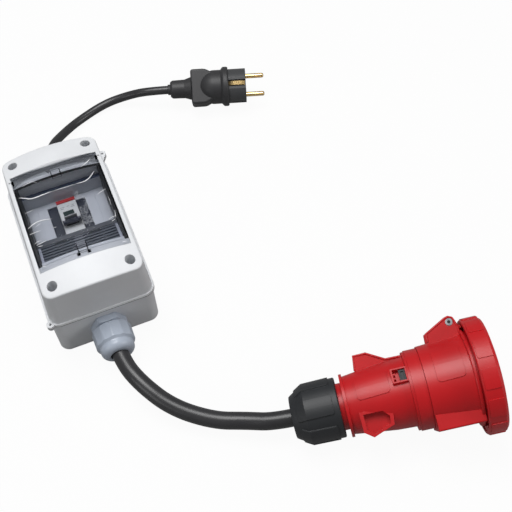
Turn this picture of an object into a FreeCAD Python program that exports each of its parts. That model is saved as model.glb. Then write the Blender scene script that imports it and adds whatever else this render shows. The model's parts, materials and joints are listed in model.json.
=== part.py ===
"""Protected adapter lead: earthed mains plug, breaker enclosure and five-pole industrial coupler.

Millimetres. The origin is the middle of the enclosure's underside, +Z goes out through its cover, +Y runs
along the enclosure towards the mains plug and +X across it. Both leads lie on the surface at Z = 0.
"""
import FreeCAD
import Part
import math
import os

V = FreeCAD.Vector
X_AXIS = V(1, 0, 0)
Y_AXIS = V(0, 1, 0)
Z_AXIS = V(0, 0, 1)

# Clearances
RUNNING = 0.06        # radial gap of a pin that turns
LOOSE = 0.25          # gap between pieces that are put together by hand
SEAT = 0.02           # gap at a seat that carries a piece
BIG = 400.0           # larger than the whole object, for cutting blocks

# Enclosure
BASE_W = 93.0
BASE_L = 155.5
BASE_DRAFT = 0.2      # how far the foot stands in from the seam, on each side
BASE_FOOT_ROUND = 1.0
BASE_H = 48.0
WALL = 3.0
CORNER_R = 9.0
RIM_OUT = 1.5
RIM_T = 2.4
COVER_STEP_X = 4.0    # how far the cover's top stands in from the base, on each side
COVER_STEP_Y = 3.0
COVER_W = BASE_W - 2 * COVER_STEP_X
COVER_L = BASE_L - 2 * COVER_STEP_Y
COVER_BOW = 3.0
APEX_Z = 103.0
CROWN_RX = 200.0
CROWN_RY = 333.0
EYELET_R = 3.4
EYELET_HOLE_R = 1.1
EYELETS = ((-1, 1.3, 3.85), (1, 0.1, -5.05))   # side, then distances in from the corner of the rim
GASKET_W = 1.6
GASKET_T = 1.4

# Cover screws
SCREW_IN_X = 12.9     # distance of the screws from the sides and from the ends of the base
SCREW_IN_Y = 11.15
SCREW_X = BASE_W / 2 - SCREW_IN_X
SCREW_Y = BASE_L / 2 - SCREW_IN_Y
SCREW_WELL_R = 4.4
SCREW_TUBE_R = 6.4
SCREW_SEAT_Z = 74.0
SCREW_SHANK_R = 1.9
SCREW_HEAD_R = 4.0
SCREW_HEAD_H = 3.2
SCREW_TIP_Z = 22.0
BOSS_R = 5.0
POST_HALF_X = 5.0     # posts that carry the rail
POST_HALF_Y = 10.0
POST_IN = 7.0         # distance of a post from the end of the rail
RAIL_SCREW_R = 1.55
RAIL_SCREW_HEAD_R = 3.4
RAIL_SCREW_HEAD_H = 2.2
SLOT_HALF = 0.5       # half width and depth of a screwdriver slot
SLOT_DEPTH = 1.2

# Wall fixing holes in the base
FIX_IN_X = 24.5       # distance of the holes from the sides and from the ends of the base
FIX_IN_Y = 13.75
FIX_X = BASE_W / 2 - FIX_IN_X
FIX_Y = BASE_L / 2 - FIX_IN_Y
FIX_R = 2.25
FIX_SINK_R = 4.3

# Window, door and the well behind it
WINDOW_IN_X = 3.2     # width of the cover's frame beside and beyond the window
WINDOW_IN_Y = 22.2
WINDOW_W = COVER_W - 2 * WINDOW_IN_X
WINDOW_L = COVER_L - 2 * WINDOW_IN_Y
WINDOW_DEPTH = 3.0
DOOR_GAP = 0.5
DOOR_T = 2.3
DOOR_DROP = 0.3
HINGE_IN_Y = 5.35     # distance of the hinge line from the window's end, and below the cover's top
HINGE_DROP = 8.5
HINGE_Y = WINDOW_L / 2 - HINGE_IN_Y
HINGE_Z = APEX_Z - HINGE_DROP
STUD_R = 1.0
STUD_OUT = 1.9
HINGE_SWEEP_R = 5.0
TROUGH_WALL = 1.6
TAB = 8.0
TAB_FAR_IN = 4.0      # distance of the square tabs from the hinge line and from the near edge
TAB_NEAR_IN = 5.0
CATCH_X = 4.5         # two catch fingers under the near edge of the door
CATCH_HALF_X = 1.0
CATCH_IN_Y = 6.0
CATCH_T = 1.6
CATCH_REACH = 6.0
SHEET = 2.5           # thickness of the moulded walls of the well frame
FRAME_FAR_T = 1.2
FRAME_TAB_X = (13.0, 33.0)
FRAME_TAB_REACH = 8.5
FRAME_TAB_T = 2.2
PANEL_Z = 66.0
CUTOUT_L = 45.4       # standard height of the module cut-out
BREAKER_Y = 7.1
WELL_SIDE_GAP = 3.5   # from the window's side to the inside of the well
WELL_FAR_GAP = 8.2    # from the hinge line to the well's far wall
WELL_STEP = 3.8
WELL_HALF_W = WINDOW_W / 2 - WELL_SIDE_GAP
WELL_FAR_Y = HINGE_Y - WELL_FAR_GAP
WELL_STEP_Y = WELL_FAR_Y - WELL_STEP
WELL_STEP_Z = PANEL_Z + 16.0
WELL_NEAR_Y = BREAKER_Y - CUTOUT_L / 2
LEDGE_Z = PANEL_Z + 18.0
LEDGE_W = 4.4
LEDGE_Y = WELL_NEAR_Y - LEDGE_W
SHIELD_IN_Y = 9.55
SHIELD_NEAR_Y = -WINDOW_L / 2 + SHIELD_IN_Y
SHIELD_NEAR_Z = LEDGE_Z + 7.5
SHIELD_DEPTH = 8.0
SHIELD_RIBS = 6

# Breaker and rail, in standard modules
MODULE = 17.6
CUTOUT_MODULES = 4
BREAKER_BODY_L = 84.0
BREAKER_SHOULDER = 44.0
BREAKER_NOSE = 50.0
BREAKER_NOSE_L = 44.8
MOUTH_HALF_X = 4.5    # mouths for the leads at both ends of the breaker
MOUTH_Z = (13.0, 22.0)
MOUTH_DEPTH = 14.0
SHAFT_IN = 8.0        # shafts of its clamp screws
SHAFT_R = 2.9
SHAFT_FOOT = 20.0
CLAMP_SCREW_R = 2.6
CLAMP_SCREW_L = 10.0
CLIP_HALF_X = 4.0     # foot that grips the rail
CLIP_THICK = 1.8
RAIL_W = 35.0
RAIL_H = 7.5
RAIL_T = 1.0
RAIL_LENGTH = 78.0
RAIL_WEB_W = 25.0
TOGGLE_PIVOT_R = 5.2
TOGGLE_W = 10.8
TOGGLE_GRIP_W = 16.6
TOGGLE_REACH = 13.6
TOGGLE_REST_DEG = 25.0
TOGGLE_OFFSET_Y = 1.0

# Cables and their glands
THICK_R = 7.5
THIN_R = 4.3
OUT_GLAND_Z = 24.5
IN_GLAND_Z = 27.0
OUT_THREAD_R = 12.4
OUT_HEX_AF = 29.0
OUT_NUT_R = 17.6
OUT_NUT_L = 25.6
IN_THREAD_R = 9.9
IN_HEX_AF = 23.0
IN_NUT_R = 13.6
IN_NUT_L = 19.6
GLAND_HEX_T = 6.6
GLAND_GAP = 1.8       # thread that shows between the shoulder and the nut
NUT_FLATS = 12
LOCKNUT_T = 4.0
GLAND_SPIGOT = 13.0
SEAL_L = 12.0

# Terminal block, and the leads inside the enclosure
TERMINAL_X = -25.0
TERMINAL_Y = 36.0
TERMINAL_PITCH = 10.0
TERMINAL_HALF_X = 11.0
TERMINAL_HALF_Y = 9.0
TERMINAL_H = 31.0
TERMINAL_HOLE_Z = 24.0
TERMINAL_HOLE_R = 2.3
TERMINAL_SCREW_R = 2.0
TERMINAL_SCREW_GAP = 2.0
IN_LEAD_R = 1.25
OUT_LEAD_R = 1.9

# Mains plug, along its own +X from the collar to the pin tips
PLUG_PLACE = V(138.0, 161.5, 22.0)
PLUG_YAW = -18.4
PLUG_ROLL = 31.0
PLUG_NECK_R = 9.3
PLUG_NECK_L = 24.8
PLUG_LIP_R = 5.4
PLUG_LIP_S = (0.3, 2.8)
PLUG_GRIP_W = 36.2
PLUG_GRIP_H = 22.0
PLUG_BODY_R = 17.4
PLUG_BODY_END = 57.5
PLUG_FLANGE_R = 20.2
PLUG_FLANGE_T = 6.0
PLUG_FACE_R = 17.5
PLUG_FACE_FLAT = 16.5
PLUG_FACE_L = 18.0
PIN_SPACING = 19.0
PIN_R = 2.4
PIN_L = 19.0
PIN_SHANK_R = 1.8     # thinner part of a pin inside the insert
CLIP_W = 4.0
CLIP_T = 1.0
CLIP_SLOT_W = 6.6
CLIP_SLOT_D = 3.4
GUIDE_HALF_W = 3.4
GUIDE_DEPTH = 1.8
GRIP_CORNER_R = 2.6
GRIP_EDGE_R = 2.0
GRIP_NOSE_R = 10.1
GRIP_FLAT_L = 15.0
GRIP_L = 24.5
GRIP_WAIST = 13.0
GRIP_BEND_R = 12.0
CORE_R = 12.0
STEM_L = 16.0
STEM_WALL = 2.4

# Coupler, along its own +X from the clamping nut to the lid, with the lid hinge at its own +Z
COUPLER_PLACE_X = 117.7
COUPLER_PLACE_Y = -222.2
COUPLER_YAW = -12.54
COUPLER_ROLL = 69.0
NUT_L = 38.0
NUT_CONE_S = 10.0
NUT_REAR_R = 18.6
NUT_R = 24.5
NUT_PAD_H = 1.2
NUT_PADS = 6
NUT_PAD_PHASE = 22.0
NECK_R = 19.4
NECK_BORE_R = 15.5
NECK_START = 18.0
FLANGE_1 = (42.3, 44.6, 26.2)
REAR_BODY = ((44.6, 24.0), (57.0, 25.6), (80.0, 28.3), (96.4, 29.0))
FLANGE_2 = (96.4, 98.6, 32.5)
REAR_RIM = (98.6, 109.0, 33.3)
REAR_WALL = 3.0
FIN_T = 3.4
FIN = ((56.0, 22.0), (57.6, 38.8), (68.7, 38.8), (83.4, 29.8), (97.6, 29.3), (97.6, 24.0))
LUG = ((51.8, -8.0), (52.3, -24.0), (59.5, -29.2), (77.4, -22.6), (78.3, -14.4), (72.0, -8.0))
LUG_HALF_W = 24.4
LUG_POCKET_D = 7.0
LUG_RIM = 2.4
SPIGOT_R = 30.2
FRONT_START = 109.25
FRONT_R0 = 34.3
FRONT_END = 146.0
FRONT_R1 = 36.7
LIP_R = 40.0
LIP_T = 2.4
COLLAR_R = 38.2
COLLAR_END = 157.9
MOUTH_R = 33.6
SHELF_S = 118.0
SHELF_T = 4.0
KEY_BOSS_HALF_W = 26.0
KEY_BOSS_Z = -36.0
KEY_GROOVE_HALF_W = 3.6
KEY_GROOVE_R = 35.6
INSERT_R = 28.2
INSERT_REAR_R = 26.2
INSERT_START = 98.0
INSERT_FACE = 150.0
CONTACT_CIRCLE_R = 17.5
CONTACT_R = 2.55
EARTH_R = 3.55
CONTACT_WALL = 0.8
CONTACT_START = 116.0
CONTACT_RECESS = 1.5
CONTACT_ENTRY = 0.6   # how much wider the insert's entry is than the bore of the sleeve
HINGE_S = 140.5
HINGE_R = 47.5
EAR_R = 4.7
EYE_R = 4.4
SPRING_WIRE_R = 0.45
SPRING_TURNS = 4
SPRING_FLATS = 8
SPRING_SLOT_HALF = 3.2
SPRING_SLOT_R = 4.8
REAR_PAD = (53.5, 80.5, 9.0, 3.0, 66.0)     # from, to, half width, corner radius and angle
FRONT_PAD = (118.0, 140.5, 13.5, 3.0, 65.0)
REAR_PAD_H = 0.7
FRONT_PAD_H = 0.6
EAR_T = 3.0
ARM_HALF_W = 7.0
PIN_OUT_R = 3.0
PIN_IN_R = 1.3
RING_START = 149.0
RING_END = 165.2
RING_R = 47.6
RING_PAD_H = 0.7
RING_PADS = 12
RING_BORE_R = 44.6
RING_FRONT_BORE_R = 41.0
RING_FRONT_T = 1.9
LUG_BORE_R = 40.6
RING_LUG_ANGLES = (60.0, 180.0, 300.0)
RING_LUG_HALF_DEG = 13.0
RAMP_ANGLES = ((82.0, 108.0), (202.0, 228.0), (322.0, 348.0))
RAMP_R = 42.8
RAMP_S = (153.4, 156.2)
LID_R = 44.2
LID_START = 158.6
LID_T = 4.4
LID_DOME_R = 40.5
LID_DOME_T = 3.6
LATCH_ANGLE = 63.0
LATCH_S = (84.0, 97.0)
LATCH_HALF_W = 6.6
LATCH_FLOOR_R = 26.8
LATCH_TOP_R = 31.6
LATCH_TRAVEL = 3.0
LATCH_SIZE = (5.0, 10.0, 3.4)


def polygon_face(points):
    """Face of straight edges through the given corner points."""
    return Part.Face(Part.makePolygon([V(*p) for p in points] + [V(*points[0])]))


def box(x0, x1, y0, y1, z0, z1):
    """Block between two corners."""
    return Part.makeBox(x1 - x0, y1 - y0, z1 - z0, V(x0, y0, z0))


def rod(radius, start, end):
    """Cylinder from one point to another."""
    way = V(*end) - V(*start)
    return Part.makeCylinder(radius, way.Length, V(*start), way)


def tube(outer, inner, start, end):
    """Cylinder with a bore right through it."""
    return rod(outer, start, end).cut(rod(inner, start, end))


def turned(profile):
    """Solid of revolution about X from (s, r) corners, closed along the axis."""
    points = [(profile[0][0], 0, 0)] + [(s, 0, r) for s, r in profile] + [(profile[-1][0], 0, 0)]
    return polygon_face(points).revolve(V(0, 0, 0), X_AXIS, 360)


def domed(profile, middle, end):
    """Solid of revolution about X whose profile ends in an arc through middle to end."""
    points = [V(s, 0, r) for s, r in profile]
    foot, tip = V(points[0].x, 0, 0), V(end[0], 0, 0)
    edges = [Part.makeLine(a, b) for a, b in zip([foot] + points, points)]
    edges.append(Part.Arc(points[-1], V(middle[0], 0, middle[1]), V(end[0], 0, end[1])).toShape())
    edges.append(Part.makeLine(V(end[0], 0, end[1]), tip))
    edges.append(Part.makeLine(tip, foot))
    return Part.Face(Part.Wire(edges)).revolve(V(0, 0, 0), X_AXIS, 360)


def around_x(shape, degrees):
    """Copy turned about the X axis, from the hinge at +Z towards -Y."""
    copy = shape.copy()
    copy.rotate(V(0, 0, 0), X_AXIS, degrees)
    return copy


def wedge(degrees_from, degrees_to, s0, s1, radius):
    """Sector block about X, used to keep only part of a ring."""
    face = polygon_face([(s0, 0, 0), (s1, 0, 0), (s1, 0, radius), (s0, 0, radius)])
    return around_x(face.revolve(V(0, 0, 0), X_AXIS, degrees_to - degrees_from), degrees_from)


def rounded_bar(s0, s1, half_w, corner, z0, z1):
    """Upright block along Z with rounded plan corners, for raised pads."""
    block = box(s0, s1, -half_w, half_w, z0, z1)
    upright = [e for e in block.Edges if abs(e.BoundBox.ZLength - (z1 - z0)) < 1e-6]
    return block.makeFillet(corner, upright)


def flat_sided(count, across_flats, x0, length):
    """Prism along X with that many equal flats."""
    corner = across_flats / 2 / math.cos(math.pi / count)
    turns = [2 * math.pi * k / count for k in range(count)]
    points = [(x0, corner * math.cos(t), corner * math.sin(t)) for t in turns]
    return polygon_face(points).extrude(V(length, 0, 0))


def bowed_wire(width, length, bow, z):
    """Plan outline with straight long sides and gently bowed ends."""
    w, l = width / 2, length / 2
    corners = [V(-w, -l, z), V(w, -l, z), V(w, l, z), V(-w, l, z)]
    if bow == 0:
        return Part.makePolygon(corners + corners[:1])
    return Part.Wire([
        Part.Arc(corners[0], V(0, -l - bow, z), corners[1]).toShape(),
        Part.makeLine(corners[1], corners[2]),
        Part.Arc(corners[2], V(0, l + bow, z), corners[3]).toShape(),
        Part.makeLine(corners[3], corners[0]),
    ])


def drafted_block(lower, upper, z0, z1, corner):
    """Loft between two bowed outlines, each (width, length, bow), with its upright edges rounded."""
    block = Part.makeLoft([bowed_wire(*lower, z0), bowed_wire(*upper, z1)], True, True)
    upright = [e for e in block.Edges if e.BoundBox.ZLength > 0.9 * (z1 - z0)]
    return block.makeFillet(corner, upright)


def crown(drop):
    """Everything below the doubly curved front surface, lowered by drop."""
    top = APEX_Z - drop
    half = BASE_W * 0.8
    edge = top - CROWN_RX + math.sqrt(CROWN_RX ** 2 - half ** 2)
    floor = top - CROWN_RY * 0.4
    outline = Part.Wire([
        Part.Arc(V(-half, 0, edge), V(0, 0, top), V(half, 0, edge)).toShape(),
        Part.makeLine(V(half, 0, edge), V(half, 0, floor)),
        Part.makeLine(V(half, 0, floor), V(-half, 0, floor)),
        Part.makeLine(V(-half, 0, floor), V(-half, 0, edge)),
    ])
    sweep = math.degrees(math.asin(BASE_L * 0.7 / CROWN_RY))
    face = Part.Face(outline)
    centre = V(0, 0, APEX_Z - CROWN_RY)
    face.rotate(centre, X_AXIS, -sweep)
    return face.revolve(centre, X_AXIS, 2 * sweep)


def crown_height(x, y):
    """Height of the front surface above a point of the plan."""
    across = CROWN_RX - math.sqrt(CROWN_RX ** 2 - x ** 2)
    radius = CROWN_RY - across
    return APEX_Z - CROWN_RY + math.sqrt(radius ** 2 - y ** 2)


def four_corners(x, y):
    """The same point in each quarter of the plan."""
    return [(sx * x, sy * y) for sx in (-1, 1) for sy in (-1, 1)]


def yz_prism(points, half_w):
    """Prism across X over a profile of (y, z) corners."""
    return polygon_face([(-half_w, y, z) for y, z in points]).extrude(V(2 * half_w, 0, 0))


# Enclosure pieces

OUT_HOLE_R = OUT_THREAD_R + LOOSE
IN_HOLE_R = IN_THREAD_R + LOOSE
RAIL_TOP_Z = PANEL_Z - SHEET - LOOSE - BREAKER_SHOULDER
RAIL_FOOT_Z = RAIL_TOP_Z - RAIL_H
POST_X = RAIL_LENGTH / 2 - POST_IN


def rim_plate(z0, z1):
    """Seam flange round the enclosure, with an eyelet at two opposite corners."""
    size = (BASE_W + 2 * RIM_OUT, BASE_L + 2 * RIM_OUT, 0.0)
    corner = CORNER_R + RIM_OUT
    plate = drafted_block(size, size, z0, z1, corner)
    for sign, in_x, in_y in EYELETS:
        eye = V(sign * (size[0] / 2 - in_x), sign * (size[1] / 2 - in_y), z0)
        root = V(sign * (size[0] / 2 - corner), sign * (size[1] / 2 - corner), z0)
        side = (eye - root).cross(Z_AXIS).normalize() * EYELET_R
        web = polygon_face([tuple(p) for p in (eye + side, eye - side, root - side, root + side)])
        plate = plate.fuse(rod(EYELET_R, tuple(eye), (eye.x, eye.y, z1))).fuse(web.extrude(V(0, 0, z1 - z0)))
        plate = plate.cut(rod(EYELET_HOLE_R, (eye.x, eye.y, z0 - 1), (eye.x, eye.y, z1 + 1)))
    return plate


def enclosure_base():
    """Deep tray with a gland hole in each end, rail posts, screw bosses and fixing holes."""
    top = (BASE_W, BASE_L, 0.0)
    foot = (BASE_W - 2 * BASE_DRAFT, BASE_L - 2 * BASE_DRAFT, 0.0)
    body = drafted_block(foot, top, 0, BASE_H, CORNER_R)
    lower_edges = [e for e in body.Edges if e.BoundBox.ZMax < 0.01]
    body = body.makeFillet(BASE_FOOT_ROUND, lower_edges)
    inner_foot = (foot[0] - 2 * WALL, foot[1] - 2 * WALL, 0.0)
    inner_top = (top[0] - 2 * WALL, top[1] - 2 * WALL, 0.0)
    cavity = drafted_block(inner_foot, inner_top, WALL, BASE_H + 1, CORNER_R - WALL)
    body = body.fuse(rim_plate(BASE_H - RIM_T, BASE_H)).cut(cavity)
    for x, y in four_corners(SCREW_X, SCREW_Y):
        body = body.fuse(rod(BOSS_R, (x, y, WALL / 2), (x, y, BASE_H - LOOSE)))
        body = body.cut(rod(SCREW_SHANK_R + SEAT, (x, y, SCREW_TIP_Z - 1), (x, y, BASE_H + 1)))
    for x in (-POST_X, POST_X):
        body = body.fuse(box(x - POST_HALF_X, x + POST_HALF_X, BREAKER_Y - POST_HALF_Y, BREAKER_Y + POST_HALF_Y,
                             WALL / 2, RAIL_FOOT_Z))
        body = body.cut(rod(RAIL_SCREW_R + RUNNING, (x, BREAKER_Y, WALL), (x, BREAKER_Y, RAIL_FOOT_Z + 1)))
    for x, y in four_corners(FIX_X, FIX_Y):
        body = body.cut(rod(FIX_R, (x, y, -1), (x, y, WALL + 1)))
        body = body.cut(rod(FIX_SINK_R, (x, y, WALL * 2 / 3), (x, y, WALL + 1)))
    body = body.cut(rod(OUT_HOLE_R, (0, -BASE_L, OUT_GLAND_Z), (0, 0, OUT_GLAND_Z)))
    return body.cut(rod(IN_HOLE_R, (0, 0, IN_GLAND_Z), (0, BASE_L, IN_GLAND_Z)))


COVER_SKIRT = (BASE_W, BASE_L, 0.4)
COVER_TOP = (COVER_W, COVER_L, COVER_BOW)
COVER_FOOT_Z = BASE_H + LOOSE
COVER_EDGE_R = 1.6


def inset(size, by):
    """Smaller outline for the inside of a wall."""
    return (size[0] - 2 * by, size[1] - 2 * by, size[2])


HINGE_LINE = [(-WINDOW_W / 2, HINGE_Y, HINGE_Z), (WINDOW_W / 2, HINGE_Y, HINGE_Z)]
TROUGH_R = HINGE_SWEEP_R + LOOSE
FRAME_NEAR_Y = SHIELD_NEAR_Y - SHEET
FRAME_END_Y = WELL_FAR_Y + FRAME_FAR_T
CATCH_Y = -WINDOW_L / 2 + CATCH_IN_Y


def cover_lip():
    """Sheet that closes the window recess below, round the opening for the well frame."""
    lip = box(-WINDOW_W / 2 - SHEET, WINDOW_W / 2 + SHEET, -WINDOW_L / 2 - SHEET, WINDOW_L / 2 + SHEET,
              BASE_H, APEX_Z)
    return lip.common(crown(WINDOW_DEPTH)).cut(crown(WINDOW_DEPTH + SHEET))


def front_cover():
    """Arched cover with the window recess, its opening, the hinge trough and four screw tubes."""
    outer = drafted_block(COVER_SKIRT, COVER_TOP, COVER_FOOT_Z, APEX_Z + 2, CORNER_R)
    outer = outer.common(crown(0))
    soft = [e for e in outer.Edges if e.BoundBox.ZMin > BASE_H + 20 and e.BoundBox.ZLength < 14
            and (e.BoundBox.XLength > 30 or e.BoundBox.YLength > 60)]
    outer = outer.makeFillet(COVER_EDGE_R, soft)
    inner = drafted_block(inset(COVER_SKIRT, WALL), inset(COVER_TOP, WALL), COVER_FOOT_Z - 1, APEX_Z + 2,
                          CORNER_R - WALL)
    shell = outer.cut(inner.common(crown(WALL)))
    shell = shell.fuse(rim_plate(COVER_FOOT_Z, COVER_FOOT_Z + RIM_T).cut(inner))
    window = box(-WINDOW_W / 2, WINDOW_W / 2, -WINDOW_L / 2, WINDOW_L / 2, BASE_H, APEX_Z + 5)
    shell = shell.cut(window.cut(crown(WINDOW_DEPTH)))
    shell = shell.fuse(cover_lip())
    for x, y in four_corners(SCREW_X, SCREW_Y):
        column = rod(SCREW_TUBE_R, (x, y, COVER_FOOT_Z), (x, y, APEX_Z)).common(crown(WALL / 2))
        shell = shell.fuse(column)
        shell = shell.cut(rod(SCREW_WELL_R, (x, y, SCREW_SEAT_Z), (x, y, APEX_Z + 5)))
        shell = shell.cut(rod(SCREW_SHANK_R + LOOSE, (x, y, BASE_H - 1), (x, y, SCREW_SEAT_Z + 1)))
    far = crown_height(0, WINDOW_L / 2)
    end = WINDOW_L / 2
    bevel = yz_prism([(end - 1, far - 2.8), (end - 1, far + 4), (end + 4, far + 4), (end + 2.2, far + 0.6)],
                     WINDOW_W / 2)
    shell = shell.cut(bevel)
    trough = rod(TROUGH_R + TROUGH_WALL, *HINGE_LINE)
    shell = shell.fuse(trough.common(crown(WINDOW_DEPTH)).common(inner))
    shell = shell.cut(rod(TROUGH_R, *HINGE_LINE))
    shell = shell.cut(box(-WINDOW_W / 2, WINDOW_W / 2, FRAME_NEAR_Y - LOOSE, FRAME_END_Y + LOOSE, BASE_H, APEX_Z))
    stud_reach = WINDOW_W / 2 + STUD_OUT
    shell = shell.cut(rod(STUD_R + RUNNING, (-stud_reach, HINGE_Y, HINGE_Z), (stud_reach, HINGE_Y, HINGE_Z)))
    for x in (-CATCH_X, CATCH_X):
        half = CATCH_HALF_X + 2 * RUNNING + LOOSE
        shell = shell.cut(box(x - half, x + half, CATCH_Y - CATCH_T - 0.8, CATCH_Y + 0.4, PANEL_Z + 10, APEX_Z))
    return shell


def frame_tabs(y0, y1, z0, z1):
    """Two tabs of the well frame, one on each side of the middle."""
    x0, x1 = FRAME_TAB_X
    return box(x0, x1, y0, y1, z0, z1).fuse(box(-x1, -x0, y0, y1, z0, z1))


def well_frame():
    """Inner frame behind the door: side walls, far step, ledge, module cut-out and holding tabs."""
    frame = box(-WELL_HALF_W - SHEET, WELL_HALF_W + SHEET, FRAME_NEAR_Y, FRAME_END_Y, PANEL_Z - SHEET, APEX_Z)
    frame = frame.common(crown(WINDOW_DEPTH))
    shield_floor = SHIELD_NEAR_Z - SHIELD_DEPTH
    ledge_floor = LEDGE_Z - SHIELD_DEPTH
    pocket = yz_prism([
        (WELL_FAR_Y, APEX_Z + 5), (WELL_FAR_Y, WELL_STEP_Z), (WELL_STEP_Y, WELL_STEP_Z),
        (WELL_STEP_Y, PANEL_Z), (WELL_NEAR_Y, PANEL_Z), (WELL_NEAR_Y, LEDGE_Z), (LEDGE_Y, LEDGE_Z),
        (LEDGE_Y, ledge_floor), (SHIELD_NEAR_Y, shield_floor), (SHIELD_NEAR_Y, APEX_Z + 5)], WELL_HALF_W)
    near_under = yz_prism([
        (WELL_NEAR_Y - SHEET, PANEL_Z - 2 * SHEET), (WELL_NEAR_Y - SHEET, ledge_floor - SHEET),
        (LEDGE_Y, ledge_floor - SHEET), (SHIELD_NEAR_Y, shield_floor - SHEET),
        (SHIELD_NEAR_Y, PANEL_Z - 2 * SHEET)], WELL_HALF_W)
    far_under = yz_prism([
        (WELL_STEP_Y + SHEET, PANEL_Z - 2 * SHEET), (WELL_STEP_Y + SHEET, WELL_STEP_Z - SHEET),
        (FRAME_END_Y + 1, WELL_STEP_Z - SHEET), (FRAME_END_Y + 1, PANEL_Z - 2 * SHEET)],
        WELL_HALF_W + 2 * SHEET)
    frame = frame.cut(pocket).cut(near_under).cut(far_under)
    half = CUTOUT_MODULES * MODULE / 2 + LOOSE
    frame = frame.cut(box(-half, half, BREAKER_Y - CUTOUT_L / 2, BREAKER_Y + CUTOUT_L / 2,
                          PANEL_Z - 2 * SHEET, PANEL_Z + 1))
    under_trough = HINGE_Z - TROUGH_R - TROUGH_WALL - LOOSE
    far_tabs = frame_tabs(WELL_FAR_Y, HINGE_Y, under_trough - FRAME_TAB_T, under_trough)
    near_tabs = frame_tabs(FRAME_NEAR_Y - FRAME_TAB_REACH / 2, FRAME_NEAR_Y + 1, BASE_H, APEX_Z)
    under_lip = crown(WINDOW_DEPTH + SHEET + LOOSE)
    near_tabs = near_tabs.common(under_lip).cut(crown(WINDOW_DEPTH + SHEET + LOOSE + FRAME_TAB_T))
    return frame.fuse(far_tabs).fuse(near_tabs)


def cover_gasket():
    """Thin seal cord that lies in the seam, inside the wall of the base."""
    outer = inset((BASE_W, BASE_L, 0.0), WALL + LOOSE)
    ring = drafted_block(outer, outer, BASE_H - GASKET_T, BASE_H + LOOSE - SEAT, CORNER_R - WALL)
    hole = inset(outer, GASKET_W)
    ring = ring.cut(drafted_block(hole, hole, BASE_H - GASKET_T - 1, BASE_H + 1, CORNER_R - WALL - GASKET_W))
    for x, y in four_corners(SCREW_X, SCREW_Y):
        ring = ring.cut(rod(SCREW_TUBE_R + LOOSE, (x, y, BASE_H - GASKET_T - 1), (x, y, BASE_H + 1)))
    return ring


def cover_screws():
    """Four long captive screws with a slotted pan head at the bottom of each well."""
    screws = []
    for x, y in four_corners(SCREW_X, SCREW_Y):
        seat = SCREW_SEAT_Z + SEAT
        head = rod(SCREW_HEAD_R, (x, y, seat), (x, y, seat + SCREW_HEAD_H))
        rim = [e for e in head.Edges if e.BoundBox.ZMin > seat + SCREW_HEAD_H - 0.01]
        head = head.makeFillet(1.0, rim)
        slot = box(x - SCREW_HEAD_R, x + SCREW_HEAD_R, y - 0.6, y + 0.6, seat + SCREW_HEAD_H - 1.2, APEX_Z)
        cross = box(x - 0.6, x + 0.6, y - 2.4, y + 2.4, seat + SCREW_HEAD_H - 1.2, APEX_Z)
        shank = rod(SCREW_SHANK_R, (x, y, SCREW_TIP_Z), (x, y, seat + 0.5))
        screws.append(head.cut(slot).cut(cross).fuse(shank))
    return Part.makeCompound(screws)


def door():
    """Clear arched door with hinge studs, a grip tab and two catch fingers."""
    half_w = WINDOW_W / 2 - DOOR_GAP
    near = -WINDOW_L / 2 + DOOR_GAP
    sheet = crown(DOOR_DROP).cut(crown(DOOR_DROP + DOOR_T))
    panel = sheet.common(box(-half_w, half_w, near, HINGE_Y, BASE_H, APEX_Z + 5))
    heel = sheet.common(rod(HINGE_SWEEP_R, (-half_w, HINGE_Y, HINGE_Z), (half_w, HINGE_Y, HINGE_Z)))
    heel = heel.common(box(-half_w, half_w, HINGE_Y - 0.01, HINGE_Y + 20, BASE_H, APEX_Z + 5))
    body = panel.fuse(heel)
    studs = rod(STUD_R, (-half_w - STUD_OUT, HINGE_Y, HINGE_Z), (half_w + STUD_OUT, HINGE_Y, HINGE_Z))
    keep = box(-half_w + 2, half_w - 2, -BIG, BIG, -BIG, BIG)
    body = body.fuse(studs.cut(keep))
    raised = crown(DOOR_DROP - 0.3).cut(crown(DOOR_DROP + 0.5))
    for y in (HINGE_Y - TAB_FAR_IN - TAB, near + TAB_NEAR_IN):
        body = body.fuse(raised.common(box(-TAB / 2, TAB / 2, y, y + TAB, BASE_H, APEX_Z + 5)))
    for x in (-CATCH_X, CATCH_X):
        top = crown_height(x, CATCH_Y) - DOOR_DROP - DOOR_T / 2
        body = body.fuse(box(x - CATCH_HALF_X, x + CATCH_HALF_X, CATCH_Y - CATCH_T, CATCH_Y, top - CATCH_REACH, top))
    return body


def lower_shield():
    """Ribbed guard over the outgoing terminals, in the near part of the well."""
    near_y, far_y = SHIELD_NEAR_Y + LOOSE, LEDGE_Y - LOOSE
    slope = (SHIELD_NEAR_Z - LEDGE_Z) / (LEDGE_Y - SHIELD_NEAR_Y)
    seat_far = LEDGE_Z - SHIELD_DEPTH + slope * LOOSE + SEAT
    seat_near = SHIELD_NEAR_Z - SHIELD_DEPTH - slope * LOOSE + SEAT
    guard = yz_prism([(far_y, seat_far), (far_y, LEDGE_Z - 1.0), (near_y, SHIELD_NEAR_Z), (near_y, seat_near)],
                     WELL_HALF_W - LOOSE)
    run = (near_y - far_y) / SHIELD_RIBS
    rise = (SHIELD_NEAR_Z - LEDGE_Z + 1.0) / SHIELD_RIBS
    for k in range(SHIELD_RIBS):
        y = far_y + (k + 0.5) * run
        z = LEDGE_Z - 1.0 + (k + 0.5) * rise
        depth = 3.6 if k in (2, 5) else 1.6
        groove = box(-WELL_HALF_W + 2.5, WELL_HALF_W - 2.5, y - 0.7, y + 0.7, z - depth, z + 6)
        guard = guard.cut(groove)
    for x in (-15.0, 15.0):
        guard = guard.cut(box(x - 5, x + 5, far_y - 3.2, far_y + 1, LEDGE_Z - 5, LEDGE_Z + 5))
    middle = far_y + 2.8 * run
    guard = guard.fuse(box(-4, 4, middle + run, middle, LEDGE_Z - 0.5, LEDGE_Z + 3.8 * rise))
    return guard


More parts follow.
